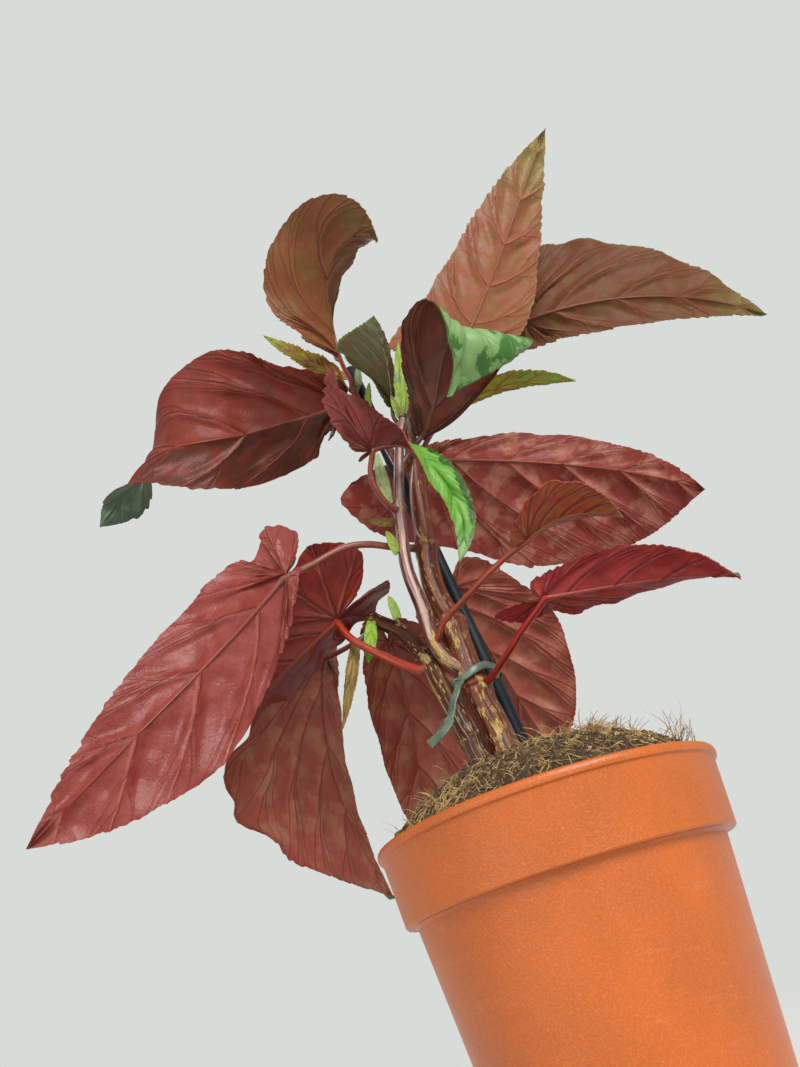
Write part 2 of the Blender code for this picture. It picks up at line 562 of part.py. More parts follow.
class Midrib:
    """The frames along a leaf's midrib: its points, the way ahead, and the way to the leaf's right."""

    def __init__(self, leaf, steps=60):
        heading, pitch, roll = (math.radians(a) for a in leaf.aim)
        ahead = np.array([math.cos(pitch) * math.cos(heading), math.cos(pitch) * math.sin(heading),
                          math.sin(pitch)])
        level = np.array([math.sin(heading), -math.cos(heading), 0.0])
        right = level * math.cos(roll) + np.cross(level, ahead) * math.sin(roll)
        stretches = len(leaf.droop)
        many = np.ones(stretches)
        turns = -np.radians(np.stack([leaf.droop * many, leaf.sweep * many, leaf.twist * many], 1))
        turns *= stretches / steps
        at, points, ways, rights = np.zeros(3), [np.zeros(3)], [ahead], [right]
        for i in range(steps):
            droop, sweep, twist = turns[i * stretches // steps]
            turn = droop * right + sweep * np.cross(right, ahead) + twist * ahead
            after = ahead + np.cross(turn, ahead)
            after /= np.linalg.norm(after)
            right = right + np.cross(turn, right)
            right -= after * (right @ after)
            right /= np.linalg.norm(right)
            middle = ahead + after
            at = at + middle / np.linalg.norm(middle) * leaf.length / steps
            ahead = after
            points.append(at)
            ways.append(ahead)
            rights.append(right)
        self.length = leaf.length
        self.along = np.linspace(0, leaf.length, steps + 1)
        self.points = np.array(points) + np.array(leaf.base, float)
        self.ways, self.rights = np.array(ways), np.array(rights)

    def at(self, x):
        """Point, way ahead, way right and way up at a distance along the midrib, or straight on past it."""
        inside = np.clip(x, 0, self.length)
        point, way, right = (np.stack([np.interp(inside, self.along, rows[:, k]) for k in range(3)], -1)
                             for rows in (self.points, self.ways, self.rights))
        way /= np.linalg.norm(way, axis=-1, keepdims=True)
        right -= (right * way).sum(-1, keepdims=True) * way
        right /= np.linalg.norm(right, axis=-1, keepdims=True)
        return point + way * (x - inside)[..., None], way, right, np.cross(right, way)


def margin(leaf, half, steps=240):
    """The flat outline of one half: out round its lobe, past its widest place and in to the tip."""
    length, width, lobe = leaf.length, leaf.width[half], leaf.lobe[half]
    lobe_width, widest = leaf.lobe_width[half], leaf.widest[half]
    corners = [(0, 0), (-0.6 * lobe, 0.1 * lobe_width), (-lobe, 0.5 * lobe_width),
               (-0.55 * lobe, lobe_width),
               (0.3 * widest * length, (1 - leaf.notch[half]) * (lobe_width + width) / 2),
               (widest * length, width),
               ((0.45 + 0.55 * widest) * length, (0.66 + 0.16 * leaf.full) * width),
               ((0.76 + 0.24 * widest) * length, (0.30 + 0.2 * leaf.full) * width), (length, 0)]
    curve = smooth_route([(x, y, 0) for x, y in corners], 16)
    return np.stack([np.interp(np.linspace(0, 1, steps), reach(curve), curve[:, k]) for k in (0, 1)], 1)


def read_along(curve, share, places):
    """The flat points of a curve at some shares of its length."""
    return np.stack([np.interp(places, share, curve[:, k]) for k in (0, 1)], 1)


def half_grid(leaf, half):
    """Flat places of one half: for each vein column its foot on the midrib and its end on the margin,
    and the dip between two teeth midway to the next column. The first column is the lobe's edge beside
    the stalk, and the next few fan out from the base. The other veins leave the midrib at 45 degrees or
    less. Teeth point towards the tip."""
    edge = margin(leaf, half)
    foot = np.maximum.accumulate(np.clip(edge[:, 0] - edge[:, 1], 0, leaf.length))
    share = np.linspace(0, 1, len(edge))
    open_edge = edge[:, 1] > np.maximum(SINUS, SINUS_SLOPE * -edge[:, 0])
    start = share[np.argmax(open_edge)]
    spread = max(share[np.argmax(foot > 0)], start)
    fan = np.linspace(start, spread, leaf.fan + 1)[:-1]
    stations = np.linspace(0, leaf.length, leaf.columns + 1)[1:]
    ribs = np.interp(stations, foot[foot > 0], share[foot > 0])
    ribs[-1] = 1.0
    ends = np.concatenate([fan, ribs])
    feet = np.concatenate([np.zeros(leaf.fan), stations])
    between = (ends[1:] + ends[:-1]) / 2
    tips, notches = read_along(edge, share, ends), read_along(edge, share, between)
    spacing = np.linalg.norm(np.diff(tips, axis=0), axis=1)
    inner = np.stack([feet, 0 * feet], 1) * (1 - leaf.rows[-1]) + tips * leaf.rows[-1]
    run, off = np.diff(inner, axis=0), notches - inner[:-1]
    room = abs(run[:, 0] * off[:, 1] - run[:, 1] * off[:, 0]) / np.maximum(np.linalg.norm(run, axis=1), 1e-6)
    tooth = np.minimum(TOOTH * leaf.length, np.minimum(0.35 * spacing, 0.5 * room))
    slope = (read_along(edge, share, np.minimum(between + 0.02, 1))
             - read_along(edge, share, np.maximum(between - 0.02, 0)))
    slope /= np.maximum(np.linalg.norm(slope, axis=1), 1e-9)[:, None]
    inward = np.stack([slope[:, 1], -slope[:, 0]], 1)
    notches = notches + (inward - 0.6 * slope) * tooth[:, None]
    return feet, tips, notches


def place(leaf, rib, half, flat):
    """Flat places set in space, with the way out of the upper face: folded, curled and a little ruffled."""
    x, y = flat[..., 0], flat[..., 1]
    sign = 1 if half else -1
    point, _, right, up = rib.at(x)
    out = y / leaf.width[half]
    angle = np.radians(leaf.fold[half] + 0.5 * leaf.curl[half] * out)
    wave = RUFFLE * leaf.width[half] * out ** 2 * np.sin(RUFFLE_WAVES * x / leaf.length * math.pi + 2 * half)
    across = sign * right * np.cos(angle)[..., None] + up * np.sin(angle)[..., None]
    normal = -sign * right * np.sin(angle)[..., None] + up * np.cos(angle)[..., None]
    return point + across * y[..., None] + normal * wave[..., None], normal


def blade_shape(leaf, rib):
    """The blade as one closed thin solid, both faces split into triangles alike."""
    flat, faces, rims = [], [], []
    for half in (0, 1):
        feet, tips, notches = half_grid(leaf, half)
        foot = np.stack([feet, np.zeros_like(feet)], 1)
        count, shares = len(feet), (0, *leaf.rows)
        first = len(flat)
        for share in shares:
            flat += [(half, *p) for p in foot + (tips - foot) * share]
        last_row, edge = first + (len(shares) - 1) * count, len(flat)
        for i in range(count):
            flat.append((half, *tips[i]))
            if i < count - 1:
                flat.append((half, *notches[i]))
        for i in range(count - 1):
            for a in range(first + i, last_row + i, count):
                faces += [(half, a, a + 1, a + 1 + count), (half, a, a + 1 + count, a + count)]
            a, e = last_row + i, edge + 2 * i
            faces += [(half, a, e + 1, e), (half, a, a + 1, e + 1), (half, a + 1, e + 2, e + 1)]
            rims += [(half, e, e + 1), (half, e + 1, e + 2)]
        sinus = [*range(first, last_row + 1, count), edge]
        rims += [(half, b, a) for a, b in zip(sinus, sinus[1:])]
    flat = np.array(flat)
    upper, lower = np.zeros((len(flat), 3)), np.zeros((len(flat), 3))
    for half in (0, 1):
        mine = flat[:, 0] == half
        where, normal = place(leaf, rib, half, flat[mine, 1:])
        shared = flat[mine, 2] == 0
        normal[shared] = rib.at(flat[mine, 1])[3][shared]
        thick = np.full(len(where), BLADE / 2)
        thick[shared] += KEEL * leaf.stalk_radius * (1 - flat[mine, 1][shared] / leaf.length)
        upper[mine], lower[mine] = where + normal * BLADE / 2, where - normal * thick[:, None]
    total = len(flat)
    shell = []
    for half, a, b, c in faces:
        shell.append((a, b, c) if half else (a, c, b))
        shell.append((total + a, total + c, total + b) if half else (total + a, total + b, total + c))
    for half, a, b in rims:
        a, b = (a, b) if half else (b, a)
        shell += [(a, total + a, total + b), (a, total + b, b)]
    return np.vstack([upper, lower]), shell


def stalk_shape(leaf, rib):
    """The leaf stalk, from inside the cane to just under the blade, where it runs into the midrib."""
    entry = leaf.stalk_radius * ENTRY
    point, ahead, _, up = rib.at(np.array([entry]))
    under = point[0] - up[0] * leaf.stalk_radius * 0.5
    route = smooth_route([*leaf.stalk, tuple(under)], 2 if len(leaf.stalk) > 1 else 3)
    return tube(route, np.linspace(1.05, 0.85, len(route)) * leaf.stalk_radius, leaf.sides)


def clear_of(obj, cane_name):
    """Cuts the piece back to a gap from the cane that carries it."""
    combine(obj, solid("host", *cane_shape(CANES[cane_name], GAP)), "DIFFERENCE")


def one_finish(obj, finish):
    obj.data.materials.clear()
    obj.data.materials.append(finish)


def make_leaf(name, leaf):
    rib = Midrib(leaf)
    blade = solid(name, *blade_shape(leaf, rib))
    combine(blade, solid("stalk", *stalk_shape(leaf, rib)), "UNION")
    clear_of(blade, leaf.cane)
    one_finish(blade, material(name + "_blade", leaf.colour, 0.45))


def make_growing_tip():
    """The unopened leaves at the top of the young cane, folded round a short core."""
    route = smooth_route(TIP_CORE, 3)
    radii = np.linspace(*TIP_CORE_RADIUS, len(route))
    tip = solid("growing_tip", *tube(route, radii, 6))
    for blade in TIP_BLADES:
        combine(tip, solid("tip_blade", *blade_shape(blade, Midrib(blade))), "UNION")
    clear_of(tip, "cane_young")
    one_finish(tip, material("growing_tip_blade", YOUNG_GREEN, 0.5))


def make_canes():
    """The four canes. A cane that grows from another is cut to a gap from it."""
    made = {}
    for name, cane in CANES.items():
        made[name] = solid(name, *cane_shape(cane))
    combine(made["cane_main"], solid("spur", *cane_shape(SPUR)), "UNION")
    clear_of(made["cane_young"], "cane_main")
    clear_of(made["cane_top"], "cane_young")
    for name, cane in CANES.items():
        one_finish(made[name], material(name + "_bark", cane.colour, 0.5))


def main():
    clear_scene()
    make_pot()
    make_canes()
    rooted = [cane for cane in CANES.values() if cane.route[0][2] < SOIL_LEVEL]
    holes = [solid("hole", *cane_shape(cane, GAP)) for cane in rooted]
    make_soil([*holes, make_stake()])
    make_tie()
    for name, leaf in {**LEAVES, **BRACTS}.items():
        make_leaf(name, leaf)
    make_growing_tip()


main()
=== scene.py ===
"""The looks of a cane begonia in its nursery pot: fine leaves, canes, soil, pot, tie and a plain stage.

Sizes in the tables are millimetres and degrees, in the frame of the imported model. Blender's are metres.
"""

from dataclasses import dataclass
import math

import bmesh
import bpy
from bpy.props import FloatProperty, FloatVectorProperty, IntProperty, PointerProperty
from mathutils import Matrix, Vector
import numpy as np


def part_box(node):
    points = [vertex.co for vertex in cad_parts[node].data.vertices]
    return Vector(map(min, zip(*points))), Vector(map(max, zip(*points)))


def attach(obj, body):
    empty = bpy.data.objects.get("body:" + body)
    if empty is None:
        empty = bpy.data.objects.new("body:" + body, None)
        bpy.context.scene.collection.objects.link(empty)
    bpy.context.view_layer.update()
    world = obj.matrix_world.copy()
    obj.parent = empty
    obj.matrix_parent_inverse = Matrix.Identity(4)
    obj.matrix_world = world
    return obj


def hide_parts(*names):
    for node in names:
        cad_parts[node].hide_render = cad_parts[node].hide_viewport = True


bl_info = {
    "name": "Potted begonia",
    "version": (1, 0, 0),
    "blender": (4, 5, 0),
    "location": "View3D > Sidebar > Begonia",
    "description": "Builds a cane begonia in a nursery pot, piece by piece",
    "category": "Add Mesh",
}

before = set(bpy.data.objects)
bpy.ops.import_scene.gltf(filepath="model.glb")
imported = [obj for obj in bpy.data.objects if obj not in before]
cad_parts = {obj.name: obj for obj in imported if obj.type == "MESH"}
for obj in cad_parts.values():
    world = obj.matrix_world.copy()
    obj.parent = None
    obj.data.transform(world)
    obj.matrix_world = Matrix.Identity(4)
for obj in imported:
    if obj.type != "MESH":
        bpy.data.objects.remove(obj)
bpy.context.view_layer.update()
MM = 0.001
BODY = "root"
SEED = 11

# Where the photograph was taken from, in the pot's frame
CAMERA_PLACE = (0.0, -0.3665, 0.0728)
CAMERA_RIGHT = (0.94207, 0.20320, -0.26686)
CAMERA_UP = (0.33098, -0.43425, 0.83778)
CAMERA_AHEAD = (-0.05435, 0.87757, 0.47635)
FOCAL_PIXELS = 850
PHOTO_HEIGHT_PIXELS = 1067
SENSOR = 36.0


def number(name, description, default, unit="LENGTH"):
    """A length in metres, or a value in the unit given, where NONE is a plain number."""
    return FloatProperty(name=name, description=description, default=default, unit=unit, precision=4)


def count(name, description, default):
    return IntProperty(name=name, description=description, default=default, min=0)


def colour(name, description, default):
    return FloatVectorProperty(name=name, description=description, default=default, subtype="COLOR",
                               size=3, min=0.0, max=1.0)


class PotSettings(bpy.types.PropertyGroup):
    height: number("Height", "From the base to the top of the lip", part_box("pot")[1].z)
    base_radius: number("Base radius", "Radius of the foot", 0.0495)
    neck_radius: number("Neck radius", "Radius just under the band", 0.0627)
    band_height: number("Band height", "How far the rim's band reaches down from the lip", 0.0253)
    band_foot_radius: number("Band foot radius", "Radius at the band's lower edge", 0.0672)
    band_top_radius: number("Band top radius", "Radius at the band's upper edge", 0.0700)
    lip_radius: number("Lip radius", "Outer radius of the rolled lip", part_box("pot")[1].x)
    lip_height: number("Lip height", "Height of the rolled lip", 0.004)
    wall: number("Wall", "Thickness of the moulded wall", 0.0015)
    drain_holes: count("Drain holes", "Holes in the base", 6)
    drain_radius: number("Drain radius", "Radius of each drain hole", 0.0045)
    drain_ring: number("Drain ring", "Radius of the ring that the holes lie on", 0.032)
    plastic: colour("Plastic", "Colour of the moulded plastic", (0.50, 0.113, 0.0125))


class SoilSettings(bpy.types.PropertyGroup):
    level: number("Level", "Height of the soil at the wall", 0.1255)
    rise: number("Rise", "How far the dome stands above the wall's level", 0.025)
    crumbs: count("Crumbs", "Loose crumbs on the dome", 750)
    fibres: count("Fibres", "Coir fibres on the dome", 1900)
    chips: count("Chips", "Pale mineral chips", 26)
    earth: colour("Earth", "Colour of the moist mix", (0.085, 0.052, 0.026))
    fibre: colour("Fibre", "Colour of the coir", (0.44, 0.29, 0.12))


class CaneSettings(bpy.types.PropertyGroup):
    bark: colour("Bark", "Colour of the old canes", (0.175, 0.036, 0.014))
    cork: colour("Cork", "Colour of the corky patches", (0.50, 0.33, 0.11))
    young: colour("Young cane", "Colour of the silvery young cane", (0.17, 0.042, 0.028))
    stake: colour("Stake", "Colour of the stake's coating", (0.0035, 0.012, 0.017))
    stake_radius: number("Stake radius", "Radius of the stake", 0.0036)


class LeafSettings(bpy.types.PropertyGroup):
    thickness: number("Thickness", "Thickness of a blade", 0.0006)
    vein_height: number("Vein height", "How far the side veins stand out below", 0.0009)
    quilt: number("Quilt", "How far the blade bulges between two veins", 0.0021)
    tooth: number("Tooth", "Depth of the teeth, as a share of the leaf's length", 0.0085, "NONE")
    ruffle: number("Ruffle", "Height of the waves at the margin, as a share of the width", 0.045, "NONE")


class TieSettings(bpy.types.PropertyGroup):
    width: number("Width", "Width of the strip", 0.0034)
    thickness: number("Strip thickness", "Thickness of the strip", 0.0011)
    level: number("Level", "Height of the loop at its knot", 0.1845)
    tint: colour("Tint", "Colour of the translucent plastic", (0.110, 0.155, 0.105))


class StageSettings(bpy.types.PropertyGroup):
    floor_size: number("Floor size", "Side of the floor", 9.0)
    floor: colour("Floor", "Colour of the floor", (0.74, 0.745, 0.735))
    key_power: number("Key light", "Power of the key light", 27.0, "POWER")
    fill_power: number("Fill light", "Power of the front fill and the back light", 11.0, "POWER")
    world: number("World light", "Strength of the light from the pale surroundings", 0.5, "NONE")
    backdrop: colour("Backdrop", "Colour of the surroundings as the camera sees them", (0.69, 0.715, 0.69))


SETTINGS = {"pot": PotSettings, "soil": SoilSettings, "canes": CaneSettings, "leaves": LeafSettings,
            "tie": TieSettings, "stage": StageSettings}


def settings(name):
    return getattr(bpy.context.scene, "begonia_" + name)


# Geometry of the stems and leaves

@dataclass
class Stem:
    """A stem's route from the soil up, its radius at foot and tip, the shares of its length that hold
    nodes, and the places of its corky patches: height, bearing, length, width and strength."""
    route: tuple
    radius: tuple
    nodes: tuple = ()
    cork: tuple = ()
    swell: float = 0.22


STEMS = {
    "cane_main": Stem(
        route=((-5, -14, 119), (-7, -14, 142), (-9, -13, 165), (-11.5, -12, 182), (-12.5, -11, 211),
               (-15, -10, 234), (-12.5, -9, 256), (-8.5, -8, 281), (-6, -7, 299), (-2, -7, 323),
               (0, -8, 342)),
        radius=(7.1, 2.6), nodes=(0.28, 0.42, 0.605, 0.82),
        cork=((206, -95, 26, 2.0, 0.8), (192, -125, 20, 1.8, 0.8), (163, -80, 46, 6.5, 0.52),
              (148, -88, 24, 6.0, 0.60), (257, -95, 5, 3.5, 0.8), (181, -60, 9, 2.2, 0.8),
              (176, -95, 30, 2.2, 0.4), (228, -85, 34, 3.4, 0.42))),
    "cane_young": Stem(
        route=((-13, -13, 191), (-17, -16.5, 194), (-20.5, -19, 200), (-22, -20, 208), (-22, -21, 221),
               (-23, -22, 242), (-20, -21, 262), (-17, -20, 278), (-9, -18, 307), (-3, -14.5, 325)),
        radius=(3.3, 2.1), nodes=(0.22, 0.62, 0.97),
        cork=((197, -105, 22, 4.2, 0.85), (206, -70, 10, 1.6, 0.8), (278, -95, 5, 2.5, 0.5))),
    "cane_side": Stem(
        route=((-17.5, -22, 121), (-17.5, -22, 144), (-19.5, -22, 159), (-22.5, -21, 176),
               (-25, -16.5, 189), (-26.5, -13.5, 198), (-29.5, -10, 207), (-34.5, -6, 219), (-42, -1, 228),
               (-49, 4, 235.5)),
        radius=(4.4, 3.2), nodes=(0.3, 0.66, 0.97), swell=0.14,
        cork=((199, -105, 7, 3.6, 0.85), (190, -80, 4, 1.6, 0.8), (165, -90, 60, 4.0, 0.3))),
    "cane_top": Stem(
        route=((-12, -18.5, 296), (-15, -10, 316), (-20, -3, 344), (-24, -1, 366)),
        radius=(1.9, 1.7), nodes=(0.5, 0.97)),
}
SPUR = Stem(route=((-12, -12, 256), (-14, -14, 264), (-11, -14, 282), (-6, -13.5, 297)), radius=(1.3, 0.9))
STAKE_ROUTE = ((4, 4, 112), (-22, 7, 385))
# The tie's slope, its distance from what it holds, and the route of its tail
TIE_TILT = 0.35
TIE_SLACK = 0.3
TIE_TAIL = ((-17, -21.5, 184), (-18, -28, 179), (-21, -30, 174), (-24, -31, 168), (-29, -32, 163),
            (-35, -32, 160))
# Where the tail's end piece starts, how much wider it is, and the knot's rings: tilt and radius
TIE_END_FROM = 0.62
TIE_END_WIDER = 1.55
KNOT_RINGS = ((0.5, 2.0), (-0.7, 1.7))


@dataclass
class Leaf:
    """One leaf. Its midrib leaves the base on an aim (heading, pitch, roll), then droops, sweeps to its
    right and twists by the angles listed, one for each equal stretch. Pairs are for the left half and the
    right half, seen from above: the width, how far the lobe reaches back past the stalk, the lobe's width,
    the angle at which the half is folded up, how much it curls, where along the midrib it is widest, and
    how deep the notch is that parts the lobe from the rest."""
    base: tuple
    length: float
    aim: tuple
    width: tuple
    droop: tuple = (0,)
    sweep: tuple = (0,)
    twist: tuple = (0,)
    lobe: tuple = (3, 3)
    lobe_width: tuple = (5, 5)
    fold: tuple = (8, 8)
    curl: tuple = (0, 0)
    widest: tuple = (0.32, 0.32)
    notch: tuple = (0, 0)
    full: float = 0.6
    stalk: tuple = ()
    stalk_radius: float = 1.6
    palmate: int = 4
    pinnate: int = 4
    tooth: float = 1.0
    look: str = "crimson"
    slot: str = "red_leaf"


LEAVES = {
    "leaf_low_left": Leaf(
        base=(-73.5, -39.5, 249.5), length=147, aim=(-189, -33, -83), droop=(33, -18), sweep=(3, -1),
        twist=(22, -3), width=(27.5, 33.5), lobe=(18.5, 7), lobe_width=(25.5, 5), fold=(6, 3), curl=(-1, 1),
        widest=(0.10, 0.49), full=0.8, notch=(0.26, 0), stalk_radius=1.7, look="rose",
        stalk=((-16, -9, 256), (-26, -14, 258), (-36.5, -25.5, 258), (-47.5, -32, 257),
               (-61.5, -36.5, 252))),
    "leaf_low_left_back": Leaf(
        base=(-62, -7.5, 236), length=72, aim=(171, -23, -10), droop=(20,), sweep=(-24,), twist=(-2,),
        width=(30, 38), lobe=(30, 29), lobe_width=(34, 34), fold=(32, 30), curl=(3, -15),
        widest=(0.18, 0.43), full=0.4, notch=(0.04, 0.10), stalk_radius=2.0, palmate=5, look="dusky",
        stalk=((-26.5, -14.5, 197), (-33, -13.5, 198), (-46, -11, 210), (-57.5, -10.5, 222.5))),
    "leaf_hang_left": Leaf(
        base=(-83.5, 49, 244.5), length=138, aim=(125, -36, 31), droop=(72,), sweep=(-24,), twist=(9,),
        width=(81.5, 18.5), lobe=(15.5, 8), lobe_width=(26.5, 11), fold=(3, 2), curl=(-5, 3),
        widest=(0.37, 0.25), look="brown",
        stalk=((-46, 2, 232.5), (-52.5, 17, 234.5), (-67.5, 37, 239.5))),
    "leaf_hang_mid": Leaf(
        base=(-47, 35, 235), length=112, aim=(93, -38, -26), droop=(51,), sweep=(8,), twist=(6,),
        width=(26, 36), lobe=(12, 12), lobe_width=(15, 18), fold=(10, 9), curl=(5, 1), full=1.1,
        look="brown", stalk=((-32, -8, 213), (-36, 5, 225), (-40, 20, 234))),
    "leaf_hang_right": Leaf(
        base=(-6, 35, 251), length=106, aim=(77, -50, -8), droop=(17,), sweep=(13,), twist=(-6,),
        width=(27, 39), lobe=(14, 12), lobe_width=(16, 20), fold=(11, 10), full=1.2, look="brown",
        stalk=((-14, -10, 226), (-14, 6, 236), (-9, 22, 247))),
    "leaf_mid_right": Leaf(
        base=(1, 30, 326), length=159, aim=(33, 0, 78), droop=(65,), sweep=(-34,), twist=(-23,),
        width=(60, 21), lobe=(52, 8), lobe_width=(41, 10), fold=(17, 17), curl=(-2, 3),
        widest=(0.42, 0.37), full=1.0, pinnate=5, look="dusty",
        stalk=((-9, -8, 281), (-5, 8, 295), (-1, 20, 311))),
    "leaf_near_right_small": Leaf(
        base=(29, -50, 222), length=42, aim=(-16, 25, -3), droop=(71,), sweep=(-17,), twist=(18,),
        width=(9, 20), lobe=(3, 6), lobe_width=(5, 10), fold=(14, 12), curl=(4, 6), widest=(0.33, 0.39),
        full=0.5, stalk_radius=1.4, look="maroon", tooth=1.2,
        stalk=((-21, -19.5, 204), (-18.5, -24, 205.5), (-14.5, -28, 209), (-5, -34, 212), (5, -41, 215),
               (18, -47, 219))),
    "leaf_near_right": Leaf(
        base=(26, -48, 197), length=76, aim=(3, -8, 39), droop=(5, 28), sweep=(2, 15), twist=(-17, -25),
        width=(16, 17), lobe=(20, 4), lobe_width=(14, 8), fold=(31, 16), curl=(-16, -3),
        widest=(0.18, 0.41), full=1.6, notch=(0.20, 0), tooth=1.5, look="deep",
        stalk=((-11, -12, 183), (-4, -18, 182), (6, -29, 186), (16, -39, 191))),
    "leaf_top_tall": Leaf(
        base=(42, 6.5, 375), length=195, aim=(41, 52, 115), droop=(36,), sweep=(7,), twist=(-32,),
        width=(30, 32), lobe=(12, 16), lobe_width=(23, 45), fold=(10, 10), widest=(0.31, 0.29),
        pinnate=5, look="copper_pink", slot="copper_leaf",
        stalk=((-3, -7, 317), (8, 2, 334), (25, 4, 355))),
    "leaf_top_right": Leaf(
        base=(89, 66, 423), length=157, aim=(-7, -5, 77), droop=(-32,), sweep=(-24,), twist=(21,),
        width=(20, 50), lobe=(8, 15), lobe_width=(19, 26), fold=(9, 2), curl=(0, -3),
        widest=(0.34, 0.18), full=0.8, look="copper", slot="copper_leaf",
        stalk=((-6, -7, 299), (8, 14, 330), (38, 38, 372), (66, 54, 402))),
    "leaf_small_right": Leaf(
        base=(8, 3, 326), length=83, aim=(-8, 27, -8), droop=(65,), sweep=(-6,), twist=(25,),
        width=(8, 10), fold=(12, 11), curl=(4, 2), full=1.0, stalk_radius=1.1, palmate=2, pinnate=5,
        tooth=1.6, look="young", slot="young_leaf", stalk=((-4, -7, 313), (3, -2, 320))),
    "leaf_top_left": Leaf(
        base=(-26, 7, 397), length=94, aim=(-102, 94, -141), droop=(-14, 41, 93), sweep=(46, 18, 3),
        twist=(23, 31, 18), width=(23, 36), lobe=(5, 3), lobe_width=(2, 27), fold=(-12, 60), curl=(-14, 27),
        widest=(0.42, 0.43), full=1.3, notch=(0, 0.16), stalk_radius=1.4, palmate=5, pinnate=3,
        tooth=1.7, look="copper_dark", slot="copper_leaf",
        stalk=((-23.5, -1.5, 364), (-22.8, -1.5, 371), (-24.5, 1, 383))),
    "leaf_left_big": Leaf(
        base=(-31, 0, 360), length=160, aim=(-144, -38, -46), droop=(-87, 83, -28, -45, -18),
        sweep=(-11, 27, -28, -12, 10), twist=(-26, -18, -25, -53, -85), width=(47, 29), lobe=(6, 4),
        lobe_width=(10, 33), fold=(-19, 33), curl=(-12, 9), widest=(0.38, 0.25), full=1.2, notch=(0, 0.49),
        palmate=3, stalk=((-20, -3, 343), (-25, -2, 349), (-29, -1, 355))),
    "leaf_bud_left": Leaf(
        base=(-28, 14, 386), length=70, aim=(177, 53, -113), droop=(-4,), sweep=(-8,), width=(10, 6),
        lobe=(2, 2), lobe_width=(3, 3), fold=(3, 5), curl=(-5, -2), stalk_radius=1.0, palmate=2, tooth=3.2,
        look="bud", slot="young_leaf", stalk=((-24, -0.8, 363), (-26.5, 6, 372), (-28, 11, 381))),
    "leaf_bud_centre": Leaf(
        base=(-6, -12, 339), length=54, aim=(-29, 74, -16), droop=(-12,), sweep=(8,), twist=(62,),
        width=(6, 34), lobe=(2, 4), lobe_width=(4, 8), fold=(4, 1), curl=(-2, -2), full=0.8,
        stalk_radius=1.1, tooth=2.2, look="olive", slot="copper_leaf",
        stalk=((-4, -15, 321), (-7, -13, 329))),
    "leaf_arch_green": Leaf(
        base=(3, -12, 313), length=99, aim=(-49, 10, 17), droop=(-37, 25, 154, 15), sweep=(12, -1, 24, 12),
        twist=(13, -33, 7, 25), width=(41, 24), lobe=(0.6, 0.8), lobe_width=(3, 6), fold=(-4, 35),
        curl=(5, -5), widest=(0.58, 0.53), full=-0.3, notch=(0.40, 0.03), stalk_radius=1.5, palmate=5,
        pinnate=3, tooth=1.6, look="arch", slot="variegated_leaf",
        stalk=((-12, -18.5, 296), (-6, -17.5, 302), (-1, -14.5, 308))),
    "leaf_centre_twist": Leaf(
        base=(-22, -42, 295), length=86, aim=(37, 30, 31), droop=(98, 23, 9, 28), sweep=(28, -15, 21, 26),
        twist=(-28, -54, 8, -23), width=(9, 9), lobe=(4, 18), lobe_width=(8, 43), fold=(43, 5),
        curl=(-12, 10), widest=(0.27, 0.31), full=1.6, notch=(0, 0.31), stalk_radius=1.5,
        tooth=1.5, look="twist", slot="variegated_leaf",
        stalk=((-19, -21, 273), (-21, -27, 271), (-24, -33, 276), (-25, -38, 285))),
}


@dataclass
class Bract(Leaf):
    """A small scale or stipule: a narrow blade that sits on its cane by a short foot."""
    width: tuple = (3, 3)
    lobe: tuple = (1, 1)
    lobe_width: tuple = (2, 2)
    widest: tuple = (0.35, 0.35)
    full: float = 1.0
    stalk_radius: float = 0.9
    palmate: int = 1
    pinnate: int = 2
    look: str = "stipule"
    slot: str = "young_leaf"


BRACTS = {
    "bract_shoot": Bract(base=(-17, -6, 346), length=15, aim=(-60, 78, -100), width=(3.5, 3), droop=(20,),
                         stalk=((-19.5, -3.5, 342),)),
    "bract_stake_end": Bract(base=(-19.5, 1, 368), length=12, aim=(-20, 78, -96), width=(2.2, 2.2),
                             stalk=((-22.5, -2, 360),), look="pale"),
    "bract_young": Bract(base=(-22, -21.5, 278), length=31, aim=(-60, 84, -160), width=(3.2, 3),
                         stalk=((-17, -19.8, 277),), look="pale"),
    "bract_node": Bract(base=(-23.5, -21.5, 267.5), length=11, aim=(-162, 8, 150), width=(2.4, 2.4),
                        droop=(30,), stalk=((-19, -20.5, 267),), look="dry", slot="dry_bract"),
    "bract_bud": Bract(base=(-25, -22.5, 251), length=13, aim=(120, 78, 60), width=(2.6, 2.6),
                       stalk=((-21, -21.2, 250),), droop=(-15,)),
    "bract_spur": Bract(base=(-1.5, -14, 184), length=10, aim=(-25, 42, -119), width=(1.6, 1.6),
                        stalk=((-9, -12, 181),), look="dry", slot="dry_bract"),
    "bract_side_high": Bract(
        base=(-35, -10, 226), length=11, aim=(-109, 78, 157), width=(2, 2.4), stalk=((-35, -5.5, 219.5),)),
    "bract_side_green": Bract(
        base=(-48, -4, 230), length=21, aim=(-150, -72, 76), width=(3.4, 3), look="fresh",
        stalk=((-45, 0.5, 231.5),)),
    "bract_withered": Bract(
        base=(-57, -5, 223), length=42, aim=(-157, -68, 86), width=(3.4, 3), twist=(50,), look="dry",
        slot="dry_bract", pinnate=3, stalk=((-42, -1, 228.5), (-49, -1, 228))),
}
TIP_CORE = Stem(route=((-2.9, -14.4, 326.5), (-1, -14.5, 334), (1.5, -15, 342)), radius=(1.7, 0.7))
